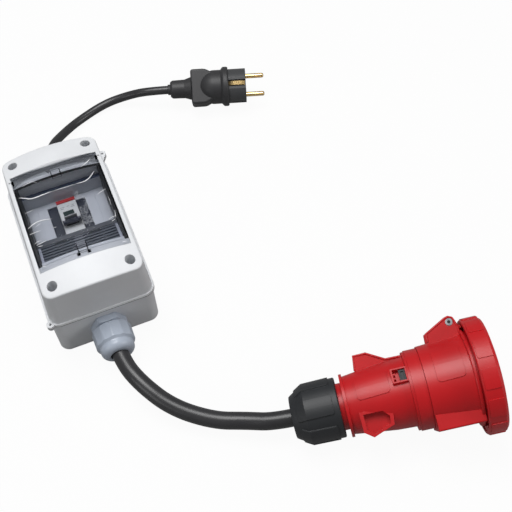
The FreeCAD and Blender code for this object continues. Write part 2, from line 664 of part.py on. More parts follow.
def blank_cover():
    """Two snap-in blanks, one each side of the breaker, with the line where a half module breaks off."""
    blanks = []
    outer = CUTOUT_MODULES * MODULE / 2
    for sign in (-1, 1):
        x0, x1 = sorted((sign * MODULE, sign * outer))
        plate = box(x0, x1, BREAKER_Y - BREAKER_NOSE_L / 2, BREAKER_Y + BREAKER_NOSE_L / 2,
                    PANEL_Z - SHEET, PANEL_Z + 0.8)
        middle = (x0 + x1) / 2
        plate = plate.cut(box(middle - 0.4, middle + 0.4, -BIG, BIG, PANEL_Z + 0.1, BIG))
        for y in (-1, 1):
            edge = BREAKER_Y + y * BREAKER_NOSE_L / 2
            lo, hi = sorted((edge - y * 1.5, edge))
            plate = plate.fuse(box(x0 + 2, x1 - 2, lo, hi, PANEL_Z - SHEET - 4, PANEL_Z - SHEET))
            lo, hi = sorted((edge, edge + y * 0.9))
            plate = plate.fuse(box(x0 + 2, x1 - 2, lo, hi, PANEL_Z - SHEET - 4, PANEL_Z - SHEET - LOOSE))
        blanks.append(plate)
    return Part.makeCompound(blanks)


def mounting_rail():
    """Top-hat rail along X, open side down on the posts, with a screw hole at each end."""
    y, z, t = BREAKER_Y, RAIL_FOOT_Z + SEAT, RAIL_T
    web, half = RAIL_WEB_W / 2, RAIL_W / 2
    top = RAIL_TOP_Z
    profile = [(y - web, z), (y + web, z), (y + web, top - t), (y + half, top - t), (y + half, top),
               (y + web - t, top), (y + web - t, z + t), (y - web + t, z + t), (y - web + t, top),
               (y - half, top), (y - half, top - t), (y - web, top - t)]
    rail = yz_prism(profile, RAIL_LENGTH / 2)
    for x in (-POST_X, POST_X):
        rail = rail.cut(rod(RAIL_SCREW_R + 2 * LOOSE, (x, y, z - 1), (x, y, z + RAIL_H / 2)))
    return rail


def rail_screws():
    """Two pan-head screws that hold the rail to its posts."""
    screws = []
    for x in (-POST_X, POST_X):
        z = RAIL_FOOT_Z + SEAT + RAIL_T + SEAT
        top = z + RAIL_SCREW_HEAD_H
        head = rod(RAIL_SCREW_HEAD_R, (x, BREAKER_Y, z), (x, BREAKER_Y, top))
        head = head.cut(box(x - RAIL_SCREW_HEAD_R, x + RAIL_SCREW_HEAD_R, BREAKER_Y - SLOT_HALF,
                            BREAKER_Y + SLOT_HALF, top - SLOT_DEPTH, top + 1))
        shank = rod(RAIL_SCREW_R, (x, BREAKER_Y, WALL + RAIL_T), (x, BREAKER_Y, z + RAIL_T / 2))
        screws.append(head.fuse(shank))
    return Part.makeCompound(screws)


BREAKER_Z = RAIL_TOP_Z + SEAT
TOGGLE_Y = BREAKER_Y + TOGGLE_OFFSET_Y
TOGGLE_Z = BREAKER_Z + BREAKER_NOSE - TOGGLE_PIVOT_R + 0.2


def breaker_case():
    """Single-pole breaker with a stepped nose, a toggle slot and two terminal mouths at each end."""
    half = MODULE / 2 - 0.1
    y, z = BREAKER_Y, BREAKER_Z
    body, nose = BREAKER_BODY_L / 2, BREAKER_NOSE_L / 2
    case = yz_prism([
        (y - body, z + 0.0), (y + body - 4, z + 0.0), (y + body, z + 4), (y + body, z + 26), (y + body - 6, z + 32),
        (y + body - 6, z + BREAKER_SHOULDER - 1), (y + nose, z + BREAKER_SHOULDER - 1),
        (y + nose, z + BREAKER_NOSE - 1.2), (y + nose - 1.2, z + BREAKER_NOSE),
        (y - nose + 1.2, z + BREAKER_NOSE), (y - nose, z + BREAKER_NOSE - 1.2),
        (y - nose, z + BREAKER_SHOULDER - 1), (y - body + 6, z + BREAKER_SHOULDER - 1),
        (y - body + 6, z + 32), (y - body, z + 26)], half)
    slot_half = TOGGLE_W / 2 + LOOSE
    slot = rod(TOGGLE_PIVOT_R + LOOSE, (-slot_half, TOGGLE_Y, TOGGLE_Z), (slot_half, TOGGLE_Y, TOGGLE_Z))
    mouth = box(-slot_half, slot_half, TOGGLE_Y - TOGGLE_PIVOT_R, TOGGLE_Y + TOGGLE_PIVOT_R, TOGGLE_Z, BIG)
    case = case.cut(slot).cut(mouth)
    axle = rod(1.5 + RUNNING, (-slot_half - 1.6, TOGGLE_Y, TOGGLE_Z), (slot_half + 1.6, TOGGLE_Y, TOGGLE_Z))
    case = case.cut(axle)
    for sy in (-1, 1):
        end = y + sy * body
        lo, hi = sorted((end + sy, end - sy * MOUTH_DEPTH))
        case = case.cut(box(-MOUTH_HALF_X, MOUTH_HALF_X, lo, hi, z + MOUTH_Z[0], z + MOUTH_Z[1]))
        shaft_y = y + sy * (body - SHAFT_IN)
        case = case.cut(rod(SHAFT_R, (0, shaft_y, z + SHAFT_FOOT), (0, shaft_y, z + BREAKER_SHOULDER)))
    near_hook = box(-BIG, BIG, y - RAIL_W / 2 - 1.2, y - RAIL_W / 2, z - 1, z)
    return case.fuse(near_hook.common(box(-half, half, -BIG, BIG, z - 1, z)))


def breaker_terminal_screws():
    """Clamp screw under each terminal shaft of the breaker."""
    screws = []
    for sy in (-1, 1):
        shaft_y = BREAKER_Y + sy * (BREAKER_BODY_L / 2 - SHAFT_IN)
        foot = BREAKER_Z + SHAFT_FOOT + SEAT
        top = foot + CLAMP_SCREW_L
        head = rod(CLAMP_SCREW_R, (0, shaft_y, foot), (0, shaft_y, top))
        screws.append(head.cut(box(-CLAMP_SCREW_R, CLAMP_SCREW_R, shaft_y - SLOT_HALF, shaft_y + SLOT_HALF,
                                   top - SLOT_DEPTH, top + 1)))
    return Part.makeCompound(screws)


def breaker_rail_clip():
    """Sliding foot that grips the near flange of the rail."""
    y0 = BREAKER_Y - BREAKER_BODY_L / 2 + 2
    y1 = BREAKER_Y - RAIL_W / 2 + 1.4
    top = RAIL_TOP_Z - RAIL_T - SEAT
    foot = top - CLIP_THICK
    plate = box(-CLIP_HALF_X, CLIP_HALF_X, y0, y1, foot, top)
    web_y = BREAKER_Y - RAIL_W / 2 - 1.2 - LOOSE
    riser = box(-CLIP_HALF_X, CLIP_HALF_X, web_y - 2 * CLIP_HALF_X, web_y, top, BREAKER_Z - SEAT)
    pull = box(-CLIP_HALF_X, CLIP_HALF_X, y0 - 5, y0, foot, top + 0.4)
    return plate.fuse(riser).fuse(pull)


def turn_toggle(shape, degrees):
    """Copy turned about the toggle's axle, positive towards +Y."""
    copy = shape.copy()
    copy.rotate(V(0, TOGGLE_Y, TOGGLE_Z), X_AXIS, -degrees)
    return copy


def breaker_toggle():
    """Lever with a barrel in the slot and a wide grip, resting in its off position."""
    half = TOGGLE_W / 2
    barrel = rod(TOGGLE_PIVOT_R, (-half, TOGGLE_Y, TOGGLE_Z), (half, TOGGLE_Y, TOGGLE_Z))
    axle = rod(1.5, (-half - 1.5, TOGGLE_Y, TOGGLE_Z), (half + 1.5, TOGGLE_Y, TOGGLE_Z))
    stem = box(-half, half, TOGGLE_Y - 1.8, TOGGLE_Y + 1.8, TOGGLE_Z, TOGGLE_Z + TOGGLE_REACH)
    grip_half = TOGGLE_GRIP_W / 2
    grip = box(-grip_half, grip_half, TOGGLE_Y - 2.0, TOGGLE_Y + 2.0, TOGGLE_Z + TOGGLE_REACH - 5,
               TOGGLE_Z + TOGGLE_REACH)
    tips = [e for e in grip.Edges if e.BoundBox.XLength > 10 and e.BoundBox.ZMin > TOGGLE_Z + TOGGLE_REACH - 1]
    grip = grip.makeFillet(1.4, tips)
    return turn_toggle(barrel.fuse(axle).fuse(stem.fuse(grip)), -TOGGLE_REST_DEG)


def terminal_lanes():
    """Places across the terminal block of the neutral and the earth terminal."""
    return (TERMINAL_X + TERMINAL_PITCH / 2, TERMINAL_X - TERMINAL_PITCH / 2)


def terminal_block():
    """Neutral and earth terminals on a tall foot, with a lead hole through each along Y."""
    top = WALL + TERMINAL_H
    block = box(TERMINAL_X - TERMINAL_HALF_X, TERMINAL_X + TERMINAL_HALF_X,
                TERMINAL_Y - TERMINAL_HALF_Y, TERMINAL_Y + TERMINAL_HALF_Y, WALL + SEAT, top)
    for x in terminal_lanes():
        block = block.cut(rod(TERMINAL_HOLE_R, (x, -BIG, TERMINAL_HOLE_Z), (x, BIG, TERMINAL_HOLE_Z)))
        for y in (TERMINAL_Y - TERMINAL_PITCH / 2, TERMINAL_Y + TERMINAL_PITCH / 2):
            block = block.cut(rod(TERMINAL_SCREW_R + RUNNING, (x, y, TERMINAL_HOLE_Z), (x, y, top + 1)))
    return block


def terminal_screws():
    """Clamp screws of the terminals, one over the end of each lead."""
    screws = []
    top = WALL + TERMINAL_H - 1.0
    for x in terminal_lanes():
        for y in (TERMINAL_Y - TERMINAL_PITCH / 2, TERMINAL_Y + TERMINAL_PITCH / 2):
            screw = rod(TERMINAL_SCREW_R, (x, y, TERMINAL_HOLE_Z + TERMINAL_SCREW_GAP), (x, y, top))
            slot = box(x - TERMINAL_SCREW_R, x + TERMINAL_SCREW_R, y - SLOT_HALF, y + SLOT_HALF,
                       top - SLOT_DEPTH, top + 1)
            screws.append(screw.cut(slot))
    return Part.makeCompound(screws)


def at_outlet(shape):
    """Moves a gland piece from its own +X to the near end wall, pointing to -Y."""
    shape.rotate(V(0, 0, 0), Z_AXIS, -90)
    shape.translate(V(0, -BASE_L / 2, OUT_GLAND_Z))
    return shape


def at_inlet(shape):
    """Moves a gland piece from its own +X to the far end wall, pointing to +Y."""
    shape.rotate(V(0, 0, 0), Z_AXIS, 90)
    shape.translate(V(0, BASE_L / 2, IN_GLAND_Z))
    return shape


def gland_body(thread_r, across_flats, bore_r):
    """Threaded tube through the wall with a chamfered hexagonal shoulder outside it."""
    inner_end = -WALL - LOCKNUT_T - BASE_DRAFT - WALL
    outer_end = GLAND_HEX_T + GLAND_SPIGOT
    body = rod(thread_r, (inner_end, 0, 0), (outer_end, 0, 0))
    chamfered = turned([(SEAT, across_flats * 0.56), (GLAND_HEX_T * 0.8, across_flats * 0.56),
                        (GLAND_HEX_T + SEAT, across_flats * 0.5)])
    body = body.fuse(flat_sided(6, across_flats, SEAT, GLAND_HEX_T).common(chamfered))
    return body.cut(rod(bore_r, (inner_end - 1, 0, 0), (outer_end + 1, 0, 0)))


def gland_locknut(thread_r, across_flats):
    """Flat hexagonal nut on the inside of the wall."""
    nut = flat_sided(6, across_flats, -WALL - BASE_DRAFT - LOCKNUT_T, LOCKNUT_T)
    return nut.cut(rod(thread_r + RUNNING, (-BIG, 0, 0), (BIG, 0, 0)))


def gland_nut(thread_r, corner_r, cable_r, length):
    """Compression nut with twelve grip flats, a step and a rounded front ring at the cable."""
    start = GLAND_HEX_T + GLAND_GAP
    end = start + length
    skin = domed([(start, corner_r - 0.9), (start + 0.9, corner_r), (start + length * 0.58, corner_r * 0.985),
                  (start + length * 0.66, corner_r * 0.86), (start + length * 0.72, corner_r * 0.85)],
                 (start + length * 0.92, corner_r * 0.77), (end, corner_r * 0.55))
    flats = flat_sided(NUT_FLATS, 2 * corner_r * math.cos(math.pi / NUT_FLATS), start, length)
    nut = skin.common(flats)
    threaded = rod(thread_r + RUNNING, (start - 1, 0, 0), (GLAND_HEX_T + GLAND_SPIGOT + LOOSE, 0, 0))
    throat = rod(cable_r + 2 * LOOSE, (start, 0, 0), (end + 1, 0, 0))
    return nut.cut(threaded).cut(throat)


def gland_seal(bore_r, cable_r):
    """Rubber sleeve round the cable, inside the mouth of the gland body."""
    return tube(bore_r - SEAT, cable_r + SEAT, (GLAND_HEX_T, 0, 0), (GLAND_HEX_T + SEAL_L, 0, 0))


OUT_BORE_R = OUT_THREAD_R - 2.0
IN_BORE_R = IN_THREAD_R - 1.8


# Plug pieces, in the plug's own frame

def at_plug(shape):
    """Moves a piece from the plug's own frame to where the plug lies."""
    shape.rotate(V(0, 0, 0), X_AXIS, PLUG_ROLL)
    shape.rotate(V(0, 0, 0), Z_AXIS, PLUG_YAW)
    shape.translate(PLUG_PLACE)
    return shape


PLUG_FACE_END = PLUG_BODY_END + PLUG_FLANGE_T + PLUG_FACE_L


def plug_housing():
    """Rubber body: flat grip at the rear, round front with a finger flange, hollow for the insert."""
    half_w, half_h = PLUG_GRIP_W / 2, PLUG_GRIP_H / 2
    s = PLUG_NECK_L
    bend, end = s + GRIP_FLAT_L, s + GRIP_L
    outline = [(s, -half_w), (bend, -half_w), (end, -GRIP_WAIST), (end, GRIP_WAIST), (bend, half_w), (s, half_w)]
    grip = polygon_face([(x, y, -half_h) for x, y in outline]).extrude(V(0, 0, 2 * half_h))
    uprights = [e for e in grip.Edges if e.BoundBox.ZLength > 1]
    grip = grip.makeFillet(GRIP_BEND_R, [e for e in uprights if abs(e.CenterOfMass.x - bend) < 0.1])
    uprights = [e for e in grip.Edges if e.BoundBox.ZLength > 1 and e.CenterOfMass.x < s + 0.1]
    grip = grip.makeFillet(GRIP_CORNER_R, uprights)
    rims = [e for e in grip.Edges if e.BoundBox.ZLength < 0.01 and e.CenterOfMass.x < end - 0.1]
    grip = grip.makeFillet(GRIP_EDGE_R, rims)
    barrel = domed([(s + 8, GRIP_NOSE_R), (s + 9.4, GRIP_NOSE_R + 0.4)], (s + 14.5, GRIP_NOSE_R + 4.5),
                   (s + 22.5, PLUG_BODY_R))
    barrel = barrel.fuse(rod(PLUG_BODY_R, (s + 22.5, 0, 0), (PLUG_BODY_END, 0, 0)))
    front = PLUG_BODY_END + PLUG_FLANGE_T
    flange = turned([(PLUG_BODY_END - 2.5, PLUG_BODY_R - 1), (PLUG_BODY_END, PLUG_FLANGE_R - 0.8),
                     (PLUG_BODY_END + 1.2, PLUG_FLANGE_R), (front - 1.2, PLUG_FLANGE_R), (front, PLUG_FLANGE_R - 0.8)])
    body = grip.fuse(barrel).fuse(flange)
    core = turned([(s - 1, THIN_R + 1.2), (s + 12, THIN_R + 1.2), (s + 16, CORE_R), (BIG, CORE_R)])
    seat = rod(PLUG_BODY_R - STEM_WALL, (PLUG_BODY_END - STEM_L, 0, 0), (BIG, 0, 0))
    return body.cut(core).cut(seat)


def plug_neck():
    """Strain relief sleeve with a thin lip round the cable."""
    lip_start, lip_end = PLUG_LIP_S
    sleeve = turned([(lip_start, PLUG_LIP_R - 0.4), (lip_start + 0.4, PLUG_LIP_R), (lip_end, PLUG_LIP_R),
                     (lip_end + 0.3, PLUG_NECK_R - 1.6), (lip_end + 2.2, PLUG_NECK_R - 0.2),
                     (lip_end + 2.8, PLUG_NECK_R), (PLUG_NECK_L * 0.72, PLUG_NECK_R + 0.3),
                     (PLUG_NECK_L - SEAT, PLUG_NECK_R + 2.6)])
    return sleeve.cut(rod(THIN_R + SEAT, (-BIG, 0, 0), (BIG, 0, 0)))


def plug_insert():
    """Contact carrier with earth slots above and below and a guide groove on each side."""
    start = PLUG_BODY_END - STEM_L + 1
    face_start = PLUG_BODY_END + PLUG_FLANGE_T + SEAT
    stem = rod(PLUG_BODY_R - STEM_WALL - LOOSE, (start, 0, 0), (face_start + 1, 0, 0))
    face = rod(PLUG_FACE_R, (face_start, 0, 0), (PLUG_FACE_END, 0, 0))
    face = face.common(box(-BIG, BIG, -PLUG_FACE_R, PLUG_FACE_R, -PLUG_FACE_FLAT, PLUG_FACE_FLAT))
    carrier = stem.fuse(face)
    for side in (-1, 1):
        lo, hi = sorted((side * (PLUG_FACE_FLAT - CLIP_SLOT_D), side * (PLUG_FACE_FLAT + 2)))
        carrier = carrier.cut(box(face_start, BIG, -CLIP_SLOT_W / 2, CLIP_SLOT_W / 2, lo, hi))
        lo, hi = sorted((side * (PLUG_FACE_R - GUIDE_DEPTH), side * (PLUG_FACE_R + 2)))
        carrier = carrier.cut(box(face_start + 3, BIG, lo, hi, -GUIDE_HALF_W, GUIDE_HALF_W))
        y = side * PIN_SPACING / 2
        carrier = carrier.cut(rod(PIN_SHANK_R + SEAT, (start - 1, y, 0), (BIG, y, 0)))
    return carrier


def plug_pins():
    """Two solid round pins with rounded tips, each on a thinner shank through the insert."""
    pins = []
    tip_s = PLUG_FACE_END + PIN_L
    for side in (-1, 1):
        y = side * PIN_SPACING / 2
        pin = rod(PIN_R, (PLUG_FACE_END + SEAT, y, 0), (tip_s, y, 0))
        tip = [e for e in pin.Edges if e.BoundBox.XMin > tip_s - 0.01]
        shank = rod(PIN_SHANK_R, (PLUG_BODY_END - STEM_L + 3, y, 0), (PLUG_FACE_END + 1, y, 0))
        pins.append(pin.makeFillet(PIN_R * 0.7, tip).fuse(shank))
    return Part.makeCompound(pins)


def plug_earth_clips():
    """Sprung earth strip in the slot above and below the insert."""
    clips = []
    start = PLUG_BODY_END + PLUG_FLANGE_T + 2 * SEAT
    floor = PLUG_FACE_FLAT - CLIP_SLOT_D + SEAT
    for side in (-1, 1):
        crest = floor + 2.0
        profile = [(start, floor), (PLUG_FACE_END - 1, floor), (PLUG_FACE_END - 1, floor + CLIP_T),
                   (PLUG_FACE_END - 4, crest + CLIP_T), (start + 5, crest + CLIP_T), (start, floor + CLIP_T + 0.4)]
        face = polygon_face([(x, -CLIP_W / 2, side * z) for x, z in profile])
        clips.append(face.extrude(V(0, CLIP_W, 0)))
    return Part.makeCompound(clips)


# Coupler pieces, in the coupler's own frame

def coupler_tilt():
    """Angle at which the coupler rests on its locking ring and its clamping nut."""
    ring = RING_R + RING_PAD_H
    nut = NUT_R + NUT_PAD_H
    return math.degrees(math.atan((ring - nut) / (RING_START - NUT_CONE_S)))


COUPLER_TILT = coupler_tilt()
_rise = math.radians(COUPLER_TILT)
COUPLER_PLACE = V(COUPLER_PLACE_X, COUPLER_PLACE_Y,
                  (RING_R + RING_PAD_H) * math.cos(_rise) - RING_START * math.sin(_rise) + 0.05)


def at_coupler(shape):
    """Moves a piece from the coupler's own frame to where the coupler lies."""
    shape.rotate(V(0, 0, 0), X_AXIS, -COUPLER_ROLL)
    shape.rotate(V(0, 0, 0), Y_AXIS, -COUPLER_TILT)
    shape.rotate(V(0, 0, 0), Z_AXIS, COUPLER_YAW)
    shape.translate(COUPLER_PLACE)
    return shape


def coupler_point(s, y, z):
    """World place of a point in the coupler's own frame."""
    return at_coupler(Part.Vertex(V(s, y, z))).Point


def xz_prism(points, y0, y1):
    """Prism across Y over a profile of (s, z) corners."""
    return polygon_face([(s, y0, z) for s, z in points]).extrude(V(0, y1 - y0, 0))


def clamping_nut():
    """Gland nut of the coupler: cone, round body and six raised grip pads."""
    def outline(lift):
        return [(-2.0, NUT_REAR_R - 1.4 + lift), (0.0, NUT_REAR_R + lift), (NUT_CONE_S, NUT_R + lift),
                (NUT_L - 0.8, NUT_R + 0.5 + lift), (NUT_L, NUT_R - 0.3 + lift)]
    body = turned(outline(0.0))
    skin = turned(outline(NUT_PAD_H))
    bar = rounded_bar(3.0, NUT_L - 5.0, NUT_R * math.sin(math.radians(19.0)), 1.8, NUT_REAR_R * 0.5, BIG)
    pad = skin.common(bar)
    for k in range(NUT_PADS):
        body = body.fuse(around_x(pad, NUT_PAD_PHASE + 360.0 / NUT_PADS * k))
    body = body.cut(rod(NECK_R + RUNNING, (NECK_START - 2, 0, 0), (BIG, 0, 0)))
    body = body.cut(rod(NECK_BORE_R - 0.5, (2.0, 0, 0), (NECK_START, 0, 0)))
    return body.cut(rod(THICK_R + 0.4, (-BIG, 0, 0), (BIG, 0, 0)))


def coupler_cable_seal():
    """Thick rubber sleeve that the clamping nut squeezes on the cable."""
    return tube(NECK_BORE_R - 0.6, THICK_R + SEAT, (2.0 + SEAT, 0, 0), (NECK_START + 12, 0, 0))


def surface_pad(skin, s0, s1, half_w, corner, angle):
    """Raised pad that follows a turned skin, on both sides of the hinge plane."""
    bar = rounded_bar(s0, s1, half_w, corner, 10.0, BIG)
    pad = skin.common(bar)
    return around_x(pad, angle).fuse(around_x(pad, -angle))


def rear_outline(lift):
    """Outer profile of the rear housing, raised by lift."""
    s0, s1, r1 = FLANGE_1
    s2, s3, r2 = FLANGE_2
    s4, s5, r3 = REAR_RIM
    body = [(s, r + lift) for s, r in REAR_BODY]
    return ([(NECK_START, NECK_R), (s0, NECK_R), (s0, r1), (s1, r1)] + body
            + [(s2, r2), (s3, r2), (s4, r3), (s5, r3)])


def rear_housing():
    """Rear shell with its threaded neck, two rims, top fin, hollow side lugs and the latch window."""
    shell = turned(rear_outline(0.0))
    fin = xz_prism(FIN, -FIN_T / 2, FIN_T / 2)
    lug = xz_prism(LUG, -LUG_HALF_W, LUG_HALF_W)
    shell = shell.fuse(fin).fuse(lug)
    skin = turned([(s, r + REAR_PAD_H) for s, r in REAR_BODY])
    shell = shell.fuse(surface_pad(skin, *REAR_PAD))
    middle = (sum(s for s, z in LUG) / len(LUG), sum(z for s, z in LUG) / len(LUG))
    shrink = 1 - 2 * LUG_RIM / 21.0
    inner = [(middle[0] + (s - middle[0]) * shrink, middle[1] + (z - middle[1]) * shrink) for s, z in LUG]
    for y0, y1 in ((-BIG, -LUG_HALF_W + LUG_POCKET_D), (LUG_HALF_W - LUG_POCKET_D, BIG)):
        pocket = xz_prism(inner, max(y0, -60), min(y1, 60))
        shell = shell.cut(pocket)
    frame = rounded_bar(LATCH_S[0] - 0.5, LATCH_S[1] - 0.5, LATCH_HALF_W, 0.6, LATCH_FLOOR_R - 1, LATCH_TOP_R)
    shell = shell.fuse(around_x(frame, LATCH_ANGLE))
    bore = turned([(NECK_START - 1, NECK_BORE_R), (46.0, NECK_BORE_R), (54.0, REAR_BODY[1][1] - REAR_WALL - 1.6),
                   (95.6, REAR_BODY[2][1] - REAR_WALL), (97.0, SPIGOT_R + LOOSE), (BIG, SPIGOT_R + LOOSE)])
    core = turned([(46.0, NECK_BORE_R), (54.0, 16.5), (80.0, 16.5), (92.0, REAR_BODY[2][1] - REAR_WALL - 1.6)])
    hollow = bore.cut(xz_prism(LUG, -LUG_HALF_W, LUG_HALF_W)).fuse(core)
    shell = shell.cut(hollow)
    window = box(LATCH_S[0] + 1.0, LATCH_S[1] - 1.8, -LATCH_HALF_W + 1.3, LATCH_HALF_W - 1.3, LATCH_FLOOR_R, BIG)
    shell = shell.cut(around_x(window, LATCH_ANGLE))
    rib_end = LATCH_S[1] - 1.8 - 2 * LOOSE - LATCH_SIZE[0] - LATCH_TRAVEL
    for y in (-1.8, 1.8):
        rib = box(LATCH_S[0] + 0.6, rib_end, y - 0.6, y + 0.6, LATCH_FLOOR_R - 0.5, LATCH_TOP_R - 1.4)
        shell = shell.fuse(around_x(rib, LATCH_ANGLE))
    return shell


def coupler_latch():
    """Grey slider that locks the two housings, in its window."""
    length, width, height = LATCH_SIZE
    s1 = LATCH_S[1] - 1.8 - LOOSE
    base = LATCH_FLOOR_R + SEAT
    block = box(s1 - length, s1, -width / 2, width / 2, base, base + height)
    block = block.cut(box(s1 - length + 1.2, s1 - 1.2, -width / 2 + 1.6, width / 2 - 1.6, base + height - 1, BIG))
    return around_x(block, LATCH_ANGLE)


def front_housing():
    """Front shell with spigot, flat-bottomed key boss, ears, lip, collar, ramps and key groove."""
    lip_end = FRONT_END + LIP_T
    outer = [(98.0, SPIGOT_R), (FRONT_START, SPIGOT_R), (FRONT_START, FRONT_R0), (FRONT_END, FRONT_R1),
             (FRONT_END, LIP_R - 0.3), (FRONT_END + 0.6, LIP_R), (lip_end, LIP_R), (lip_end, COLLAR_R),
             (COLLAR_END, COLLAR_R)]
    shell = turned(outer)
    boss = box(FRONT_START + 0.8, lip_end, -KEY_BOSS_HALF_W, KEY_BOSS_HALF_W, KEY_BOSS_Z, 0)
    long_edges = [e for e in boss.Edges if e.BoundBox.XLength > 20 and e.BoundBox.ZMax < KEY_BOSS_Z + 1]
    shell = shell.fuse(boss.makeFillet(1.5, long_edges))
    skin = turned([(FRONT_START, FRONT_R0 + FRONT_PAD_H), (FRONT_END - 1, FRONT_R1 + FRONT_PAD_H)])
    shell = shell.fuse(surface_pad(skin, *FRONT_PAD))
    ear = [(119.2, 31.0), (119.6, 42.0), (HINGE_S - 3.2, HINGE_R + 4.1), (HINGE_S, HINGE_R + EAR_R * 0.6),
           (HINGE_S + EAR_R, HINGE_R), (147.2, 42.0), (146.8, 31.0)]
    for side in (-1, 1):
        y0, y1 = sorted((side * (ARM_HALF_W + LOOSE), side * (ARM_HALF_W + LOOSE + EAR_T)))
        plate = xz_prism(ear, y0, y1).fuse(rod(EAR_R, (HINGE_S, y0, HINGE_R), (HINGE_S, y1, HINGE_R)))
        shell = shell.fuse(plate)
    for a0, a1 in RAMP_ANGLES:
        ring = tube(RAMP_R, COLLAR_R - 1, (RAMP_S[0], 0, 0), (RAMP_S[1], 0, 0))
        shell = shell.fuse(ring.common(wedge(a0, a1, RAMP_S[0] - 1, RAMP_S[1] + 1, BIG)))
    shelf_end = SHELF_S + SHELF_T
    bore = turned([(90.0, INSERT_REAR_R + LOOSE), (shelf_end, INSERT_REAR_R + LOOSE), (shelf_end, MOUTH_R),
                   (BIG, MOUTH_R)])
    groove = box(shelf_end, BIG, -KEY_GROOVE_HALF_W, KEY_GROOVE_HALF_W, -KEY_GROOVE_R, 0)
    hinge_bore = rod(PIN_OUT_R + SEAT, (HINGE_S, -BIG, HINGE_R), (HINGE_S, BIG, HINGE_R))
    return shell.cut(bore).cut(groove).cut(hinge_bore)


def contact_places():
    """Angles and bore radii of the five contacts, the earth contact first, beside the key groove."""
    return [(180.0 + 72.0 * k, EARTH_R if k == 0 else CONTACT_R) for k in range(5)]


def contact_insert():
    """Contact carrier with five sleeve channels and their narrower entries."""
    face = SHELF_S + SHELF_T + SEAT
    body = turned([(INSERT_START, INSERT_REAR_R), (face, INSERT_REAR_R), (face, INSERT_R),
                   (INSERT_FACE - 0.8, INSERT_R), (INSERT_FACE, INSERT_R - 0.8)])
    recess_s = INSERT_FACE - CONTACT_RECESS
    for angle, radius in contact_places():
        channel = rod(radius + CONTACT_WALL + SEAT, (CONTACT_START - 6, 0, CONTACT_CIRCLE_R),
                      (recess_s, 0, CONTACT_CIRCLE_R))
        entry = rod(radius + CONTACT_ENTRY, (recess_s - 1, 0, CONTACT_CIRCLE_R), (BIG, 0, CONTACT_CIRCLE_R))
        tail = rod(radius - CONTACT_ENTRY, (INSERT_START - 1, 0, CONTACT_CIRCLE_R),
                   (CONTACT_START, 0, CONTACT_CIRCLE_R))
        for cut in (channel, entry, tail):
            body = body.cut(around_x(cut, angle))
    return body


def contact_sleeves():
    """Five brass sleeves, each with its own bore, the earth sleeve wider."""
    sleeves = []
    end = INSERT_FACE - CONTACT_RECESS - SEAT
    for angle, radius in contact_places():
        outer = rod(radius + CONTACT_WALL, (CONTACT_START - 6 + SEAT, 0, CONTACT_CIRCLE_R),
                    (end, 0, CONTACT_CIRCLE_R))
        bore = rod(radius, (CONTACT_START + 4, 0, CONTACT_CIRCLE_R), (BIG, 0, CONTACT_CIRCLE_R))
        sleeves.append(around_x(outer.cut(bore), angle))
    return Part.makeCompound(sleeves)


def mouth_gasket():
    """Flat seal at the bottom of the ring-shaped gap round the insert."""
    start = SHELF_S + SHELF_T + SEAT
    return tube(MOUTH_R - LOOSE, INSERT_R + LOOSE, (start, 0, 0), (start + 3, 0, 0))


LID_FRONT = LID_START + LID_T
GASKET_GROOVE = (MOUTH_R + 0.8, COLLAR_R - 0.2, 2.0)


def lid():
    """Lid plate with a shallow dome, a seal groove and the arm that reaches back to the hinge pin."""
    plate = turned([(LID_START, LID_R), (LID_FRONT, LID_R), (LID_FRONT, LID_DOME_R),
                    (LID_FRONT + LID_DOME_T - 1.2, LID_DOME_R - 0.4), (LID_FRONT + LID_DOME_T, LID_DOME_R - 2.4)])
    arm_low = COLLAR_R + 2.8
    strap = box(HINGE_S + 7.4, LID_START + 1, -ARM_HALF_W, ARM_HALF_W, arm_low, RING_BORE_R - 1.0)
    knuckle = xz_prism([(HINGE_S - 4.4, HINGE_R - 2.0), (HINGE_S - 4.4, HINGE_R - 6.4), (HINGE_S + 1.0, arm_low),
                        (HINGE_S + 7.5, arm_low), (HINGE_S + 7.5, RING_BORE_R - 1.0), (HINGE_S + 4.4, HINGE_R - 2.0)],
                       -ARM_HALF_W, ARM_HALF_W)
    eye = rod(EYE_R, (HINGE_S, -ARM_HALF_W, HINGE_R), (HINGE_S, ARM_HALF_W, HINGE_R))
    body = plate.fuse(strap).fuse(knuckle).fuse(eye)
    body = body.cut(rod(SPRING_SLOT_R, (HINGE_S, -SPRING_SLOT_HALF, HINGE_R), (HINGE_S, SPRING_SLOT_HALF, HINGE_R)))
    inner, outer, depth = GASKET_GROOVE
    groove = tube(outer, inner, (LID_START - 1, 0, 0), (LID_START + depth, 0, 0))
    bore = rod(PIN_OUT_R + RUNNING, (HINGE_S, -BIG, HINGE_R), (HINGE_S, BIG, HINGE_R))
    return body.cut(groove).cut(bore)


def lid_gasket():
    """Seal ring in the groove of the lid, just proud of it against the collar's edge."""
    inner, outer, depth = GASKET_GROOVE
    return tube(outer - SEAT, inner + SEAT, (COLLAR_END + LOOSE, 0, 0), (LID_START + depth - SEAT, 0, 0))


